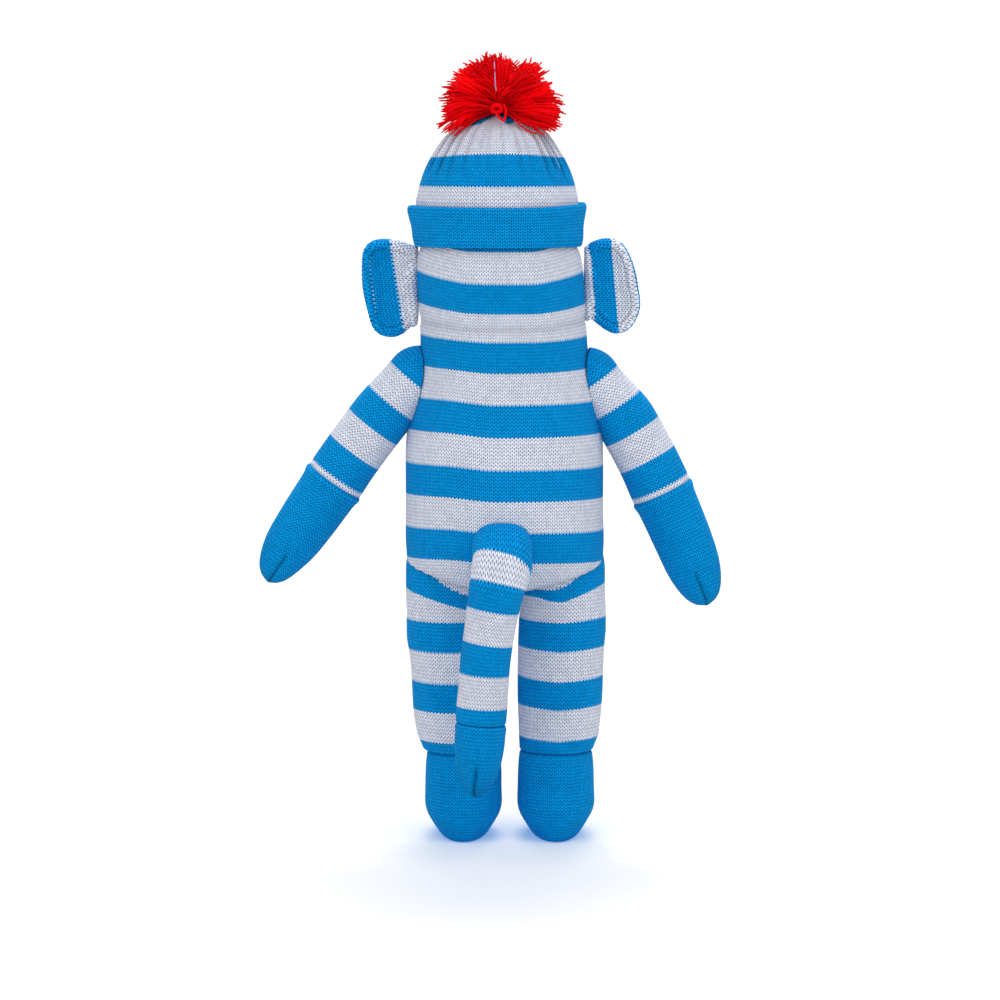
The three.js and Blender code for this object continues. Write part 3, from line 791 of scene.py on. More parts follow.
def make_crown():
    along = lengths_along(CROWN_CURVE)
    curve = resample(CROWN_CURVE, stations(0, along[-1], 1.5))
    turns = full_turn(420)
    places = around_body(curve, turns)
    depth = pleat_depth(places, turns)
    move = 0.35 - depth + lumps(places, 22, 0.5, 3)
    places = places + outward(places, curve) * move[..., None]
    height = places[..., 2]
    behind = np.clip(np.sin(turns), 0, 1)[None, :]
    ragged = 1.4 * np.sin(turns * 7 + 1.3)[None, :] * smooth(height, 360, 372)
    arch = mix(-1.2, 0.9, behind**2) * smooth(height, 345, 356)
    tip = 4.6 * np.exp(-(((turns - math.pi / 2 + 0.03) / 0.17) ** 2))[None, :] * smooth(height, 360, 369)
    stripe = stripe_at(height - arch - tip + ragged, CROWN_STRIPES)
    wales = wales_at(turns, stitches_round(CROWN_STITCH_RADIUS), height.shape)
    courses = np.broadcast_to((lengths_along(curve) / CROWN_COURSE)[:, None], height.shape)
    # The pleats' depth also darkens the knit in them as painted shade.
    crown = grid("hat_crown_knit", places, (wales, courses), stripe, np.clip(depth - 0.25, 0, 1) * 0.8)
    thicken(crown, 1.0)
    finish_piece(crown, STRIPED, ["hat_crown"])
    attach(crown, "torso")


def make_cuff():
    section = spline(CUFF_SECTION + [CUFF_SECTION[0]])
    around = lengths_along(section)
    loop = resample(section, np.linspace(0, around[-1], 56)[:-1])
    turns = full_turn(220)
    places = around_body(loop, turns)
    outer = smooth(loop[:, 0], 42.7, 43.6)[:, None]
    wave = 0.35 * np.sin(3 * turns + 0.6) + 0.25 * np.sin(7 * turns)
    flare = smooth(loop[:, 1], 318, 330)[:, None] * (0.1 + 0.3 * np.abs(np.cos(turns)) ** 4)[None, :]
    level = places.copy()
    level[..., 0] -= lean(places[..., 2])
    level[..., 2] = 0
    move = wave[None, :] * smooth(loop[:, 1], 312, 328)[:, None] + flare + 0.25 * outer
    places = places + unit(level) * move[..., None]
    droop = 0.3 * np.sin(2 * turns + 1) - 1.9 + 1.5 * np.clip(-np.cos(turns), 0, 1) ** 3
    places[..., 2] += droop[None, :] * smooth(loop[:, 1], 312, 329)[:, None]
    wales = wales_at(turns, CUFF_WALES, places.shape[:2])
    courses = np.broadcast_to((lengths_along(loop) / CUFF_COURSE)[:, None], places.shape[:2])
    closed = np.concatenate([places, places[:1]])
    last_course = courses[:1] + around[-1] / CUFF_COURSE
    cuff = grid("hat_cuff_knit", closed, (np.vstack([wales, wales[:1]]), np.vstack([courses, last_course])))
    weld(cuff)
    finish_piece(cuff, CUFF_BLUE, ["hat_cuff"])
    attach(cuff, "torso")


def weld(piece):
    """Joins the points that meet where a closed section starts and ends."""
    joined = piece.modifiers.new("weld", "WELD")
    joined.merge_threshold = 0.01 * MM
    return with_modifiers_applied(piece)


# ---- pom-pom

POMPOM_CENTRE = np.array([2.2, 0.0, 380.0])
POMPOM_REACH = np.array([29.6, 29.0, 24.3])
KNOT_WAY = np.array([0.0, 0.96, -0.28])  # the yarn parts over the knot, on the back
PARTING = math.radians(46)  # from the knot to the nearest yarn
TUFTS = 92
GOLDEN_ANGLE = math.pi * (3 - math.sqrt(5))
STRAND_RADII = 0.43 * np.array([0.8, 0.95, 1, 1, 1, 1, 1, 1.05, 0.85])
# Shorter tufts over the knot: [aside, up, reach].
BACK_TUFTS = [(0.8, 0.05, 0.74), (0.72, 0.3, 0.66), (0.5, 0.55, 0.7), (-0.7, 0.1, 0.7), (-0.5, 0.5, 0.72)]
# Angles of the loose tufts that hang over the crown.
LOW_TUFTS = [0.1, 0.32, 0.5, 0.68, 0.8, 2.4, 2.55, 2.75, 2.95, 3.1, -0.2, -2.7, 4.1, 5.2]
TIE_LOOP = [
    (6, 18.6, 378), (4, 20.8, 375), (1.2, 21.6, 372), (0.2, 21.4, 373), (-0.4, 20, 377.5), (0.6, 17.5, 380),
]
POMPOM_THREAD = [(5.6, 12, 403), (5.4, 17, 399), (5.2, 20.5, 395), (5, 21.5, 391), (4.6, 20, 387)]


def crown_height(radius):
    """Height of the crown's surface at a distance from its middle."""
    curve = CROWN_CURVE[::-1]
    return np.interp(radius, curve[:, 0], curve[:, 1])


def parted(direction):
    """Turns a direction away from the knot, so that the yarn parts over it."""
    angle = math.acos(np.clip(np.dot(direction, KNOT_WAY), -1, 1))
    aside = direction - KNOT_WAY * math.cos(angle)
    aside /= max(np.linalg.norm(aside), 1e-6)
    turned = PARTING + angle * (math.pi - PARTING) / math.pi
    return KNOT_WAY * math.cos(turned) + aside * math.sin(turned)


def tuft(random, direction, reach, count, spread):
    """A bunch of strands from the tie that ends in one flat cut."""
    root = POMPOM_CENTRE + np.array([0, 11, -1.5]) * smooth(direction[1], -0.2, 0.6)
    end = POMPOM_CENTRE + direction * reach / np.linalg.norm(direction / POMPOM_REACH)
    end[0] = mix(POMPOM_CENTRE[0], end[0], 1 - 0.13 * direction[2])
    way = (end - root) / np.linalg.norm(end - root)
    beside = np.cross(way, (0.3, 0.2, 0.93))
    beside /= np.linalg.norm(beside)
    above = np.cross(beside, way)
    t = np.linspace(0, 1, 9)[:, None]
    bend = beside * random.normal(0, 3.4) + above * random.uniform(-1.4, 4)
    shade = random.uniform(0.66, 1.1)
    tubes = []
    for _ in range(count):
        angle, out = random.uniform(0, 2 * math.pi), spread * math.sqrt(random.uniform(0, 1))
        fan = beside * math.cos(angle) * out + above * math.sin(angle) * out
        start = root + random.normal(0, 0.8, 3) + fan * 0.12
        length = np.linalg.norm(end - root) + random.normal(0, 0.45)
        path = start + way * length * t + fan * t**0.9 + bend * np.sin(math.pi * t * 0.9)
        path = path + random.normal(0, 0.95, 3) * t**2 + random.normal(0, 0.5, 3) * np.sin(t * 6)
        away = np.hypot(path[:, 0] - HEAD_SHIFT, path[:, 1])
        path[:, 2] = np.maximum(path[:, 2], crown_height(away) + 1.2)
        tubes.append(tube(path, STRAND_RADII, sides=5, tone=shade * random.uniform(0.82, 1.14)))
    return tubes


def pompom_strands(random):
    """All the pom-pom's yarn: round tufts, the tufts over the knot and the low loose ones."""
    tubes = []
    for k in range(TUFTS):
        rise = mix(1, -0.42, (k + 0.5) / TUFTS)
        angle = k * GOLDEN_ANGLE + random.uniform(-0.15, 0.15)
        level = math.sqrt(1 - rise**2)
        direction = parted(np.array([math.cos(angle) * level, math.sin(angle) * level, rise]))
        near_notch = direction[2] > 0.3 and abs(math.atan2(direction[0], direction[2]) + 0.3) < 0.27
        reach = random.uniform(0.56, 0.66) if near_notch else random.uniform(0.84, 1.07)
        if direction[1] > 0.2 and direction[2] < -0.1 and abs(direction[0]) < 0.6:
            continue
        tubes += tuft(random, direction, reach, 26, random.uniform(3.2, 5.6))
    for aside, up, reach in BACK_TUFTS:
        direction = np.array([aside, 0.62, up])
        tubes += tuft(random, direction / np.linalg.norm(direction), reach, 20, 3.4)
    for angle in LOW_TUFTS:
        direction = np.array([math.cos(angle), math.sin(angle), -0.4 + random.uniform(-0.1, 0.04)])
        tubes += tuft(random, direction / np.linalg.norm(direction), random.uniform(1.02, 1.16), 5, 2.4)
    return tubes


def tie_tubes(random):
    """The tie: a knot on the back, a loop below it and the turns round the pom-pom's middle."""
    coil = []
    for k in range(60):
        angle = k / 60 * 2 * math.pi * 3.4
        size = 2.9 - k * 0.016
        place = [4.2 + size * math.cos(angle), 19.4 + k * 0.05, 378 + 0.8 * size * math.sin(angle)]
        coil.append(np.array(place) + random.normal(0, 0.28, 3))
    wraps = []
    for k in range(70):
        angle = k / 70 * 2 * math.pi * 5
        wraps.append([3 + 3.2 * math.cos(angle), 3.2 * math.sin(angle), 379.2 + k * 0.05])
    return [tube(coil, 0.75, tone=0.9), tube(spline(TIE_LOOP), 0.6, tone=1.0), tube(wraps, 0.7, tone=0.8)]


def make_pompom():
    random = np.random.default_rng(5)
    pompom = join_tubes("pompom_yarn", pompom_strands(random))
    finish_piece(pompom, POMPOM_YARN, ["pompom"])
    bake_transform(pompom)
    tie = join_tubes("pompom_tie_yarn", tie_tubes(random))
    finish_piece(tie, RED_YARN, ["pompom_tie"])
    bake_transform(tie)
    thread = join_tubes("pompom_thread", [tube(spline(POMPOM_THREAD, 5), 0.27)])
    finish_piece(thread, PALE_THREAD)
    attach(thread, "pompom")


# ---- arms


def arm_path(hand):
    """Points and lengths along an arm's centreline in the plane of X and Z, from above the shoulder on."""
    shoulder = joint_place("shoulder_left")[[0, 2]]
    tip = np.array(hand["tip"], float)
    out, end = math.radians(hand["shoulder"]), math.radians(hand["hand"])
    outward_way = np.array([math.sin(out), -math.cos(out)])
    inward_way = np.array([-math.sin(end), math.cos(end)])
    reach = tip - shoulder
    cross = outward_way[0] * inward_way[1] - outward_way[1] * inward_way[0]
    along = (reach[0] * inward_way[1] - reach[1] * inward_way[0]) / cross
    bend = shoulder + outward_way * along
    t = np.linspace(0, 1, 200)[:, None]
    curve = (1 - t) ** 2 * shoulder + 2 * t * (1 - t) * bend + t**2 * tip
    lengths = lengths_along(curve)
    curve = resample(curve, np.linspace(0, lengths[-1], 200))
    before = shoulder - outward_way * ARM_LEAD
    return np.vstack([before, curve]), np.concatenate([[-ARM_LEAD], np.linspace(0, ARM_LENGTH, 200)])


def arm_places(side, hand, along, turns, inset=0.0, extra=0.0):
    """Places on an arm at lengths along it (rows x columns) and angles round it."""
    path, lengths = arm_path(hand)
    radius = radius_at(along, ARM_OUTLINE)
    dome = np.sqrt(np.clip(ARM_OUTLINE[0][0] ** 2 - np.clip(-along, 0, None) ** 2, 0.01, None))
    radius = np.where(along < 0, dome, radius) - inset + extra
    radius = radius - hand["slope"] * np.clip(np.cos(turns), 0, 1) ** 2 * (1 - smooth(along, 2, 30))
    radius = radius - table_at(along, spline(hand["inner"])) * np.clip(-np.cos(turns), 0, 1) ** 2
    radius = np.maximum(radius, 0.3)
    cx = np.interp(along, lengths, path[:, 0])
    cz = np.interp(along, lengths, path[:, 1])
    ahead = np.gradient(path, lengths, axis=0)
    ax = np.interp(along, lengths, ahead[:, 0])
    az = np.interp(along, lengths, ahead[:, 1])
    size = np.hypot(ax, az)
    ax, az = ax / size, az / size
    across = radius * np.cos(turns)
    x = cx - az * across
    z = cz + ax * across
    return np.stack([side * x, radius * np.sin(turns), z], -1), radius


def shoulder_edge(side, hand, turns, inset, gap):
    """For each angle round an arm, the length along it where it leaves the torso's side."""
    along = np.linspace(-ARM_OUTLINE[0][0] + 0.1, 50, 400)[:, None]
    grid_along = np.broadcast_to(along, (400, len(turns)))
    places, _ = arm_places(side, hand, grid_along, turns[None, :], inset)
    beyond = np.abs(places[..., 0]) - body_surface_x(places[..., 1], places[..., 2]) - gap
    first = np.array([np.nonzero(beyond[:, j] > 0)[0][0] for j in range(len(turns))])
    edge = along[first, 0]
    kernel = np.ones(3) / 3
    return np.convolve(np.concatenate([edge[-1:], edge, edge[:1]]), kernel, "valid")


def toe_crease(offset, along, start, end):
    """1 in the closing seam of a mitt or of the tail's tip, which runs over the end; it sinks the cover
    there and darkens the knit as painted shade.
    """
    return np.exp(-((offset / 0.75) ** 2)) * smooth(along, start, end)


def make_arm(name, side):
    hand = HANDS[name]
    body = f"arm_{name}"
    turns = full_turn(columns(2 * math.pi * ARM_STITCH_RADIUS, LIMB_STEP))

    def limb(label, start, end, inset, seams, lump_depth, seed, lip=0.0):
        """A cover or the stuffing, from each column's start to end; lip swells the first rows."""
        closed = end > ARM_LENGTH - 5
        share = np.linspace(0, 1, len(stations(0, 1, STEP / (end - np.min(start)))))
        share = np.array(sorted(set(share) | set(seams)))[:, None]
        along = mix(start[None, :], end, share)
        offset = np.zeros_like(along)
        if lip:
            from_seam = along - start[None, :]
            offset += seam_lip(from_seam, lip) - seam_roll(from_seam, 1.3)
        elif not closed:
            offset -= seam_roll(end - along, 0.8)
        places, radius = arm_places(side, hand, along, turns[None, :], inset, offset)
        shaded_crease = np.zeros_like(along)
        if closed:
            shaded_crease = toe_crease(radius * np.cos(turns)[None, :], along, 110, 117)
            places, radius = arm_places(side, hand, along, turns[None, :], inset, offset - 0.9 * shaded_crease)
        bulge = lumps(places, 20, lump_depth, seed) * smooth(along, -5, 20)
        places[..., 1] *= 1 + bulge / 15
        knit = (wales_at(turns, stitches_round(ARM_STITCH_RADIUS), along.shape), -along / COURSE)
        stripe = stripe_at(along, ARM_STRIPES)
        return grid(label, places, knit, stripe, shaded_crease, outside=side, caps=(False, closed))

    root = shoulder_edge(side, hand, turns, 0, 0.35)
    fine = (0.005, 0.012, 0.02, 0.98, 0.988, 0.995)
    sleeve = limb(f"{body}_sleeve_knit", root, ARM_SEAM, 0, fine, 0.6, 4)
    finish_piece(thicken(sleeve), STRIPED, [f"{body}_sleeve"])
    start = np.full(len(turns), ARM_SEAM)
    mitt = limb(f"{body}_mitt_knit", start, ARM_LENGTH, 0, fine, 0.6, 5, lip=0.75)
    finish_piece(thicken(mitt), SOLID_BLUE, [f"{body}_mitt"])
    root = shoulder_edge(side, hand, turns, STUFFING_INSET, 0.6)
    stuffing = limb(f"{body}_fibre", root, ARM_LENGTH - STUFFING_INSET, STUFFING_INSET, (), 0.8, 6)
    finish_piece(stuffing, FIBRE, [f"{body}_stuffing"])
    for piece in (sleeve, stuffing):
        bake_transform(piece)
    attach(mitt, body)


# ---- legs


def leg_rows(name, side, heights, turns, inset):
    """Rows of places on a leg's sleeve at given heights, above the hip too."""
    hip = joint_place(f"hip_{name}")
    radius = radius_at(heights, LEG_OUTLINE)[:, None]
    across = hip[0] - side * LEG_LEAN[name] * np.clip(hip[2] - heights, 0, None)[:, None]
    wider = table_at(heights, LEG_SIDES[name])[:, None] - side * across - radius
    outer = np.clip(np.cos(turns), 0, 1)[None, :]
    above = np.clip(heights - hip[2], 0, None)[:, None] / LEG_RADIUS
    round_top = np.sqrt(np.clip(1 - above**2, 0, 1))
    full_top = np.clip(1 - above**4, 0, 1) ** 0.25
    full = np.maximum(np.clip(-np.sin(turns), 0, 1)[None, :] ** 2, outer**2)
    radius = (radius + wider * outer) * mix(round_top, full_top, full) - inset
    radius = np.maximum(radius, 0.5)
    x = across + side * radius * np.cos(turns)[None, :]
    y = radius * np.sin(turns)[None, :]
    z = np.broadcast_to(heights[:, None], x.shape)
    return np.stack([x, y, z], 2)


def leg_stripe(name, places, turns):
    """Stripes counted from the ankle: outer side, behind and inner side have their own heights."""
    edges = np.array(LEG_STRIPES[name])
    towards = 0.5 - 0.5 * np.cos(turns)
    stripe = np.zeros(places.shape[:2])
    for j, share in enumerate(towards):
        heights = [np.interp(share, (0, 0.5, 1), edge) for edge in edges]
        stripe[:, j] = stripe_at(places[:, j, 2], heights)
    return stripe


def make_leg(name, side):
    body = f"leg_{name}"
    hip = joint_place(f"hip_{name}")
    ankle = LEG_OUTLINE[0][1]
    turns = full_turn(columns(2 * math.pi * LEG_RADIUS))
    wall = stations(ankle + 0.02, hip[2], STEP, seam=True)
    dome = hip[2] + LEG_RADIUS * np.sin(np.linspace(0, 1, 15)[1:] * math.radians(80))
    heights = np.concatenate([wall, dome])
    places = leg_rows(name, side, heights, turns, 0)
    centre = places.mean(1, keepdims=True)
    roll = seam_roll(heights - ankle, 0.9)
    bulge = lumps(places, 26, 0.7, 7) * (1 - smooth(heights, 118, 134))[:, None]
    fold = 0.7 * np.exp(-((heights - 118) / 2.2) ** 2)[:, None]
    fold = fold * np.clip(np.sin(turns + side * 0.5), 0, 1)[None, :]
    level = unit((places - centre) * np.array([1, 1, 0]))
    places = places + level * (bulge - roll[:, None] - fold)[..., None]
    along = lengths_along(np.stack([leg_rows(name, side, heights, turns[:1], 0)[:, 0, 0], heights], 1))
    wales = wales_at(turns, stitches_round(LEG_RADIUS), places.shape[:2])
    courses = np.broadcast_to((along / COURSE)[:, None], places.shape[:2])
    stripe = leg_stripe(name, places, turns)
    sleeve = grid(f"{body}_sleeve_knit", places, (wales, courses), stripe, outside=side)
    finish_piece(thicken(sleeve), STRIPED, [f"{body}_sleeve"])

    foot = make_foot(name, side, body, turns)
    levels = np.concatenate([np.linspace(ankle - 3, hip[2], 16), dome[:-3:2]])
    inside = leg_rows(name, side, levels, turns[::3], LEG_STUFFING_INSET)
    stuffing = grid(f"{body}_fibre", inside, outside=side, caps=(True, True))
    finish_piece(stuffing, FIBRE, [f"{body}_stuffing"])
    for piece in (sleeve, stuffing):
        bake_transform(piece)
    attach(foot, body)


def make_foot(name, side, body, turns):
    hip = joint_place(f"hip_{name}")
    ankle = LEG_OUTLINE[0][1]
    across = hip[0] - side * LEG_LEAN[name] * (hip[2] - ankle)
    profile = spline(FOOT_SECTIONS)
    down = lengths_along(profile[:, [0, 1, 3]])
    places_along = stations(0, down[-1], STEP, seam=True)
    rows = np.stack([np.interp(places_along, down, profile[:, k]) for k in range(4)], 1)
    front = np.sin(turns)[None, :] < 0
    deep = np.where(front, rows[:, 2:3], rows[:, 1:2])
    roll = seam_roll(places_along, 1.4)[:, None]
    toes = np.clip(-np.sin(turns), 0, 1)[None, :] ** 2 * smooth(rows[:, 3], 2, 20)[:, None] * 0.05
    x = across + side * (rows[:, 0:1] - roll) * np.cos(turns)[None, :] * (1 + toes)
    y = (deep - roll) * np.sin(turns)[None, :]
    z = np.broadcast_to(np.maximum(rows[:, 3:4], 0) - 0.2 * (places_along < 0.1)[:, None], x.shape)
    places = np.stack([x, y, z], 2)
    bulge = lumps(places, 18, 0.5, 8) * smooth(z, 3, 14)
    places[..., :2] += bulge[..., None] * np.sign(places[..., :2] - (across, 0))
    line = np.exp(-(((z - 11) / 0.8) ** 2)) * smooth(-y, 30, 38)
    places[..., 1] += 0.8 * line
    wales = wales_at(turns, stitches_round(LEG_RADIUS), x.shape) * FOOT_WALES
    courses = np.broadcast_to((-places_along / FOOT_COURSE)[:, None], x.shape)
    knit = (wales, courses)
    # The line along the toe also darkens the knit there as painted shade.
    foot = grid(f"{body}_foot_knit", places, knit, shaded_crease=line, outside=-side, caps=(False, True))
    return finish_piece(thicken(foot), SOLID_BLUE, [f"{body}_foot"])


# ---- tail


def tail_path():
    """The tail's centreline: straight back out of the torso, a bend, and down; and its lengths."""
    root = joint_place("tail_lift")
    out, top = root[1] - TAIL_BEND, root[2] + TAIL_RISE
    angle = np.linspace(0, math.pi / 2, 40)
    bend = np.stack(
        [np.full(40, root[0]), out + TAIL_BEND * np.sin(angle), top - TAIL_BEND * (1 - np.cos(angle))], 1
    )
    start = np.array([[root[0], out - TAIL_LEAD, top]])
    drop = np.linspace(0, 1, 60)[1:, None] * TAIL_DROP
    straight = bend[-1] - np.array([0, 0, 1]) * drop
    path = np.vstack([start, bend, straight])
    path[:, 0] += table_at(root[2] - path[:, 2], spline(TAIL_LEAN))
    return path, lengths_along(path) - TAIL_LEAD


def tail_places(along, turns, inset=0.0, extra=0.0):
    """Places on the tail at lengths along it (rows x columns) and angles round it."""
    path, lengths = tail_path()
    radius = radius_at(along, TAIL_OUTLINE) - inset + extra
    slope = np.gradient(path, lengths, axis=0)
    centre = np.stack([np.interp(along, lengths, path[:, k]) for k in range(3)], -1)
    ahead = unit(np.stack([np.interp(along, lengths, slope[:, k]) for k in range(3)], -1))
    side = unit(np.cross(np.cross(ahead, np.array([1.0, 0, 0])), ahead))
    back = np.cross(side, ahead)
    squarer = 1 + 0.09 * np.sin(2 * turns) ** 2 * (1 - smooth(along, 22, 45))
    radius = radius * squarer
    ring = np.cos(turns)[..., None] * side + np.sin(turns)[..., None] * back
    return centre + radius[..., None] * ring, radius


def make_tail():
    turns = full_turn(columns(2 * math.pi * TAIL_RADIUS, LIMB_STEP))
    length = TAIL_OUTLINE[-1][1]

    def root_edge(inset, gap):
        """For each angle round the tail, the length along it where it leaves the torso's back."""
        along = np.linspace(0.1 - TAIL_LEAD, 14, 240)[:, None]
        wide = np.broadcast_to(along, (240, len(turns)))
        places, _ = tail_places(wide, turns[None, :], inset)
        beyond = places[..., 1] - body_surface_y(places[..., 0], places[..., 2]) - gap
        first = np.argmax(beyond > 0, axis=0)
        return along[first, 0]

    def limb(label, start, end, inset, lump_depth, seed, lip=0.0, tip=False):
        """A cover or the stuffing, from each column's start to end; lip swells the first rows."""
        share = np.linspace(0, 1, int((end - start.min()) / STEP) + 2)
        share = np.array(sorted(set(share) | {0.006, 0.014, 0.98, 0.988, 0.995}))[:, None]
        along = mix(start[None, :], end, share)
        offset = np.zeros_like(along)
        if lip:
            from_seam = along - start[None, :]
            offset += seam_lip(from_seam, lip) - seam_roll(from_seam, 1.2)
        elif not tip:
            offset -= seam_roll(end - along, 1.0)
        places, radius = tail_places(along, turns[None, :], inset, offset)
        shaded_crease = np.zeros_like(along)
        if tip:
            shaded_crease = toe_crease(radius * np.cos(turns)[None, :] - 1.2, along, length - 21, length - 14)
            places, radius = tail_places(along, turns[None, :], inset, offset - 0.9 * shaded_crease)
        places[..., 0] += lumps(places, 20, lump_depth, seed) * smooth(along, 0, 25)
        knit = (wales_at(turns, stitches_round(TAIL_STITCH_RADIUS), along.shape), -along / COURSE)
        tilt = 1.6 * np.cos(turns)[None, :] * (1 - smooth(along, 12, 24))
        stripe = stripe_at(along + tilt, TAIL_STRIPES)
        return grid(label, places, knit, stripe, shaded_crease, outside=-1, caps=(False, tip))

    sleeve = limb("tail_sleeve_knit", root_edge(0, 0.35), TAIL_SEAM, 0, 0.5, 9)
    finish_piece(thicken(sleeve), STRIPED, ["tail_sleeve"])
    tip = limb("tail_tip_knit", np.full(len(turns), TAIL_SEAM), length, 0, 0.4, 10, lip=0.4, tip=True)
    finish_piece(thicken(tip), SOLID_BLUE, ["tail_tip"])
    start = root_edge(STUFFING_INSET, 0.6)
    inner = limb("tail_fibre", start, length - TAIL_STUFFING_GAP, STUFFING_INSET, 0.5, 9, tip=True)
    finish_piece(inner, FIBRE, ["tail_stuffing"])
    for piece in (sleeve, inner):
        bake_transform(piece)
    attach(tip, "tail")


# ---- ears


def ear_rim(name, count):
    """Points round an ear's outline, the sewn edge last."""
    outline = spline(EAR_OUTLINES[name] + [EAR_OUTLINES[name][0]], 10)
    return resample(outline, np.linspace(0, lengths_along(outline)[-1], count, endpoint=False))


def ear_places(name, side, face, rows, count, inset=0.0):
    """Places on one face of an ear, from its middle to its rim; face is 1 behind and -1 in front."""
    rim = ear_rim(name, count)
    middle = np.array(EAR_CENTRE)
    reach = np.linalg.norm(rim - middle, axis=1)
    # Rows stand at set distances from the rim there, and spread evenly further in.
    near = np.array([0, 0.12, 0.4, 0.85, 1.4, 2.1, 2.9, 3.6, 4.2, 4.8, 5.6, 6.8, 8.4])
    rim_share = 1 - near[::-1, None] / reach[None, :]
    share = np.vstack([mix(0.04, rim_share[:1], np.linspace(0, 1, rows)[:-1, None]), rim_share])
    flat = middle + (rim - middle)[None] * share[..., None]
    flat = flat + (middle - flat) * (inset / np.maximum(reach, 5))[None, :, None]
    across, height = flat[..., 0], flat[..., 1]
    distance = (1 - share) * reach[None, :]
    open_edge = smooth(across, EAR_ROOT + 1, EAR_ROOT + 8)
    round_rim = np.sqrt(np.clip(1 - (1 - np.clip(distance / 3.1, 0, 1)) ** 2, 0, 1))
    hollow = 1 - 0.62 * smooth(distance, 2.6, 9)
    shaded_crease = np.exp(-(((distance - EAR_CREASE) / 0.75) ** 2))
    thick = EAR_THICK * mix(0.72, 1, open_edge) * round_rim * hollow - 0.75 * shaded_crease * open_edge - inset
    thick = np.maximum(thick, 0.1)
    ridges = 0.2 * np.sin(height * 2 * math.pi / EAR_WALE) * np.clip(1 - distance / 2, 0, 1)
    places = np.stack([side * (across + ridges) + EAR_AXIS, face * thick, height], 2)
    return places, shaded_crease * open_edge, across, distance


def make_ear(name, side):
    body = f"ear_{name}"
    pieces = []
    for label, face in (("back_panel", 1), ("front_panel", -1)):
        places, shaded_crease, across, distance = ear_places(name, side, face, 6, 230)
        places[..., 1] += face * lumps(places, 12, 0.5, 21)
        places[..., 1] = face * np.maximum(face * places[..., 1], 0.1)
        height = places[..., 2]
        slanted = across + EAR_SLANT[name] * (height - EAR_CENTRE[1])
        stripe = stripe_at(slanted, EAR_STRIPES[name]) + 1
        if name == "right":
            stripe = np.where((distance < 0.7) & (across > 61), 4.5, np.minimum(stripe, 3.9))
        knit = (height / EAR_WALE, -(slanted + 0.5 * np.abs(places[..., 1])) / EAR_COURSE)
        # The crease inside the rim also darkens the knit, at half strength, as painted shade.
        panel = grid(
            f"{body}_{label}_knit", places, knit, stripe, shaded_crease * 0.5,
            outside=face * side, caps=(True, False), turning=False,
        )
        finish_piece(thicken(panel, 0.9), STRIPED, [f"{body}_{label}"])
        pieces.append(panel)
    front, *_ = ear_places(name, side, -1, 4, 60, 1.3)
    back, *_ = ear_places(name, side, 1, 4, 60, 1.3)
    shell = np.concatenate([front, back[::-1]])
    padding = grid(f"{body}_fibre", shell, outside=-side, caps=(True, True))
    finish_piece(padding, FIBRE, [f"{body}_padding"])
    pieces.append(padding)
    for piece in pieces:
        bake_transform(piece)
    if name == "left":
        make_topstitch(side, body)


def make_topstitch(side, body):
    """Pale stitches that hold the crease inside the outer rim of the left ear."""
    rim = ear_rim("left", 400)
    middle = np.array(EAR_CENTRE)
    reach = np.linalg.norm(rim - middle, axis=1)[:, None]
    line = rim + (middle - rim) * EAR_CREASE / reach
    lengths = lengths_along(line)
    stitches = []
    out, lowest, highest = TOPSTITCH_ZONE
    for start in np.arange(0, lengths[-1] - 2, TOPSTITCH_STEP):
        spots = resample(line, np.array([start, start + 0.6, start + 1.2]))
        if spots[1, 0] < out or not lowest < spots[1, 1] < highest:
            continue
        heights = EAR_THICK * 0.95 + np.array([-0.3, 0.25, -0.3])
        path = [(side * x + EAR_AXIS, y, z) for (x, z), y in zip(spots, heights)]
        stitches.append(tube(path, 0.3, sides=6))
    seam = join_tubes("ear_left_topstitch", stitches)
    finish_piece(seam, WHITE_THREAD)
    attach(seam, body)


# ---- face


MUZZLE_CENTRE = np.array([0.0, -34.0, 277.0])
MUZZLE_HALF = np.array([29.0, 28.0, 18.0])
MOUTH_STITCHES = 11
MOUTH_HALF = 19
MOUTH_LIFTS = (-0.7, 0.15, 0.35, 0.35, 0.15, -0.7)  # each stitch dives in at both ends
NOSTRIL_STITCH = [(-1.9, -0.5), (-1.2, 0.4), (0, 0.55), (1.2, 0.4), (1.9, -0.5)]  # [rise, lift]
EYE_ACROSS = 14
EYE_HEIGHT = 298
EYE_HEAD_RADIUS = 43
# From the end of the eye's shank to the middle of its dome: [radius, distance from the cover].
EYE_OUTLINE = [
    (0.3, -9.5), (1.6, -9.4), (1.6, 0.3), (4.2, 0.5), (4.8, 0.9), (4.85, 1.3), (4.6, 2.2), (3.9, 3.2),
    (2.8, 3.95), (1.4, 4.35), (0.2, 4.45),
]


def on_muzzle(across, height, lift):
    """A point on the muzzle's cover, or lifted off it."""
    a, b, c = MUZZLE_HALF + lift
    rise = height - MUZZLE_CENTRE[2]
    forward = b * math.sqrt(max(1 - (across / a) ** 2 - (rise / c) ** 2, 0))
    return np.array([across + lean(height), MUZZLE_CENTRE[1] - forward, height])


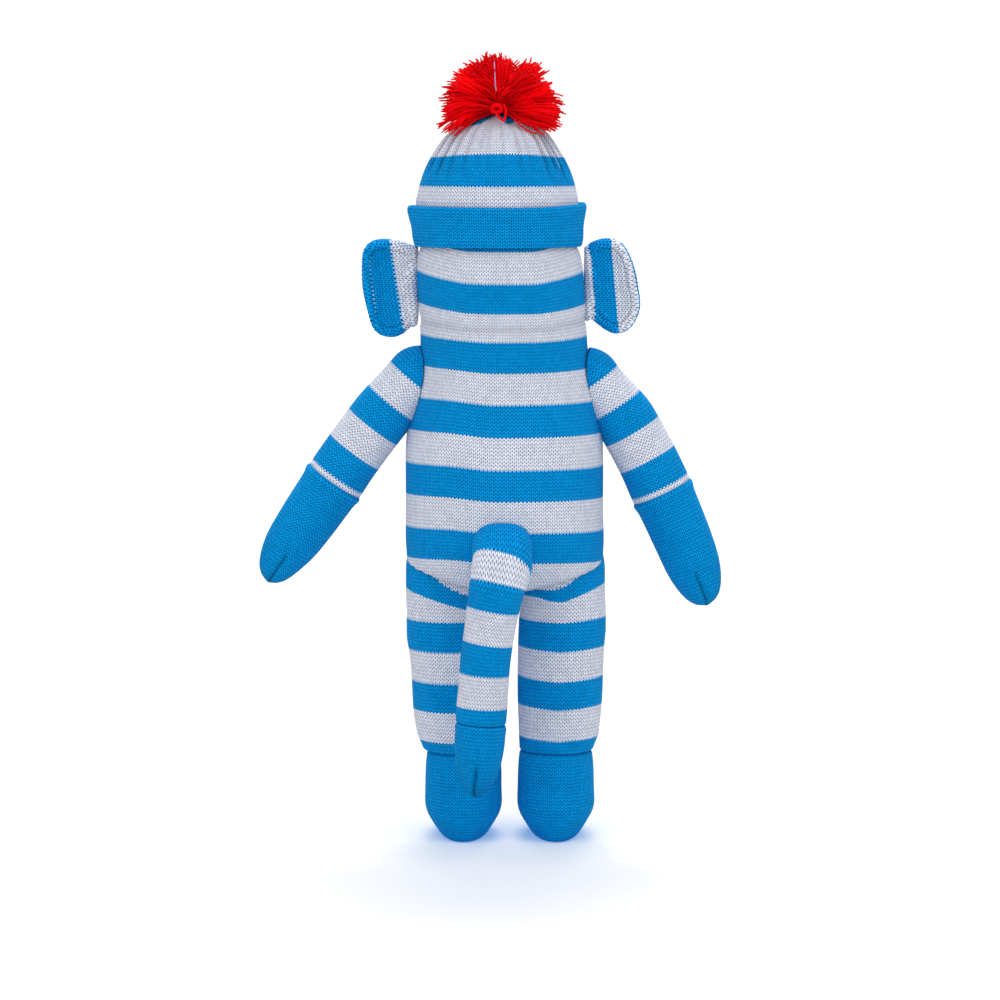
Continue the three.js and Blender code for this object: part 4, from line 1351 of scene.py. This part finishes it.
def make_muzzle():
    turns = full_turn(90)
    ring = np.stack([np.cos(turns), np.zeros(90), np.sin(turns)], 1)
    middle = MUZZLE_CENTRE + (lean(MUZZLE_CENTRE[2]), 0, 0)

    def dome(inset, rows):
        """Rows from the muzzle's tip back to the head's surface, and their angles from the tip."""
        size = MUZZLE_HALF - inset
        angle = np.linspace(0.02, math.radians(150), 300)
        places = middle + np.sin(angle)[:, None, None] * ring[None] * size
        places = places + np.array([0, -1, 0]) * size[1] * np.cos(angle)[:, None, None]
        surface = body_surface_y(places[..., 0], places[..., 2], back=False)
        inside = -places[..., 1] < surface + 0.4
        last = angle[np.argmax(inside, axis=0)]
        spread = np.linspace(0.03, 1, rows)[:, None] * last[None, :]
        made = middle + np.sin(spread)[..., None] * ring[None] * size
        made[..., 1] -= size[1] * np.cos(spread)
        return made, spread

    places, spread = dome(0, 26)
    places[..., 1] += lumps(places, 16, 0.5, 12)
    wales = spread * np.cos(turns)[None, :] * MUZZLE_HALF[0] / WALE
    courses = spread * np.sin(turns)[None, :] * MUZZLE_HALF[2] / COURSE
    cover = grid("muzzle_knit", places, (wales, courses), outside=-1, caps=(True, False))
    finish_piece(thicken(cover), SOLID_WHITE, ["muzzle_cover"])
    inner, _ = dome(STUFFING_INSET, 12)
    filling = grid("muzzle_fibre", inner, outside=-1, caps=(True, True))
    finish_piece(filling, FIBRE, ["muzzle_stuffing"])
    for piece in (cover, filling):
        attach(piece, "torso")


def make_features():
    """Mouth and nostrils, each a row of single stitches."""
    stitches = []
    for k in range(MOUTH_STITCHES):
        ends = [2 * MOUTH_HALF * (k + share) / MOUTH_STITCHES - MOUTH_HALF for share in (0.06, 1.02)]
        spots = zip(np.linspace(*ends, len(MOUTH_LIFTS)), MOUTH_LIFTS)
        path = [on_muzzle(x, 271 + 4 * (x / MOUTH_HALF) ** 2, 0.55 + lift) for x, lift in spots]
        stitches.append(tube(path, 0.72, tone=0.95))
    mouth = join_tubes("mouth_yarn", stitches)
    finish_piece(mouth, RED_YARN, ["mouth_stitch"])
    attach(mouth, "torso")
    for name, side in SIDES:
        threads = []
        for k in range(4):
            x = side * 4 + (k - 1.5) * 0.62
            path = [on_muzzle(x, 284.5 + rise, lift) for rise, lift in NOSTRIL_STITCH]
            threads.append(tube(spline(path, 3), 0.36, sides=6))
        nostril = join_tubes(f"nostril_{name}_thread", threads)
        finish_piece(nostril, BLACK_THREAD, [f"nostril_stitch_{name}"])
        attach(nostril, "torso")


def make_eye(name, side):
    """A safety eye, its shank square to the head; its washer is the CAD's, in plastic."""
    across, width = side * EYE_ACROSS, EYE_HEAD_RADIUS
    deep = width * HEAD_DEPTH
    back = deep * math.sqrt(1 - (across / width) ** 2)
    facing = Vector((across / width**2, -back / deep**2, 0)).normalized()
    place = np.array([across + lean(EYE_HEIGHT), -back, EYE_HEIGHT])
    turn = np.array(Vector((0, 0, 1)).rotation_difference(facing).to_matrix())
    curve = spline(EYE_OUTLINE, 5)
    turns = full_turn(32)
    radius = np.maximum(curve[:, 0], 0.15)[:, None]
    height = np.broadcast_to(curve[:, 1:2], (len(curve), 32))
    ring = np.stack([radius * np.cos(turns), radius * np.sin(turns), height], 2)
    eye = grid(f"eye_{name}_dome", ring @ turn.T + place, caps=(True, True))
    finish_piece(eye, EYE_PLASTIC, [f"eye_{name}"])
    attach(eye, "torso")
    for slot in frame["nodes"][f"eye_washer_{name}"].material_slots:
        slot.material = WASHER_PLASTIC


# ---- floor, light and world


FLOOR_HALF = 6.0  # metres
FLOOR_COLOURS = [(0.68, 0.57, 0.35), (0.72, 0.61, 0.38)]
# The glow makes the floor as white as the wall behind; what it throws on the monkey is less, and bluer.
FLOOR_GLOW_THROWN = (0, 0.13, 0.42)
FLOOR_GLOW_SEEN = (0.14, 0.28, 0.58)
WORLD_THROWN = 0.42
WORLD_SEEN = 1.05
# Each sun: [name, where it shines, its spread in degrees, its strength].
SUNS = [
    ("from_the_front", (0.03, 0.72, -1), 28, 1.6),
    ("over_the_head", (0.05, 0.1, -1), 70, 1.4),
    ("behind_left", (-0.8, -0.9, -0.85), 60, 0.64),
    ("behind_right", (0.8, -0.9, -0.85), 60, 0.64),
]


def make_stage():
    size = FLOOR_HALF
    corners = [(-size, -size, 0), (size, -size, 0), (size, size, 0), (-size, size, 0)]
    mesh = bpy.data.meshes.new("floor")
    mesh.from_pydata(corners, [], [(0, 1, 2, 3)])
    floor = bpy.data.objects.new("floor", mesh)
    bpy.context.scene.collection.objects.link(floor)
    t = Tree("floor")
    place = t.add("ShaderNodeTexCoord").outputs["Object"]
    base = t.mixed(t.noise(place, 300, 2), *FLOOR_COLOURS)
    seen = t.add("ShaderNodeLightPath").outputs["Is Camera Ray"]
    glow = t.mixed(seen, FLOOR_GLOW_THROWN, FLOOR_GLOW_SEEN)
    t.surface(Base_Color=base, Roughness=0.9, Specular_IOR_Level=0.0)
    t.surface(Emission_Color=glow, Emission_Strength=1)
    floor.data.materials.append(t.material)


def sun(name, towards, spread, strength):
    """A wide soft light that shines the same on the whole floor."""
    data = bpy.data.lights.new(name, "SUN")
    data.angle = math.radians(spread)
    data.energy = strength
    lamp = bpy.data.objects.new(name, data)
    bpy.context.scene.collection.objects.link(lamp)
    lamp.rotation_euler = Vector(towards).to_track_quat("-Z", "Y").to_euler()


def make_light():
    world = bpy.data.worlds.new("world")
    bpy.context.scene.world = world
    world.use_nodes = True
    nodes, links = world.node_tree.nodes, world.node_tree.links
    background = nodes["Background"]
    background.inputs["Color"].default_value = (1, 1, 1, 1)
    seen = nodes.new("ShaderNodeLightPath").outputs["Is Camera Ray"]
    strength = nodes.new("ShaderNodeMapRange")
    links.new(seen, strength.inputs["Value"])
    strength.inputs["To Min"].default_value = WORLD_THROWN
    strength.inputs["To Max"].default_value = WORLD_SEEN
    links.new(strength.outputs[0], background.inputs["Strength"])
    for settings in SUNS:
        sun(*settings)
    bpy.context.scene.view_settings.view_transform = "Standard"


# ---- the monkey

make_body()
make_crown()
make_cuff()
make_pompom()
make_muzzle()
make_features()
for name, side in SIDES:
    make_eye(name, side)
    make_ear(name, side)
    make_arm(name, side)
    make_leg(name, side)
make_tail()
make_stage()
make_light()
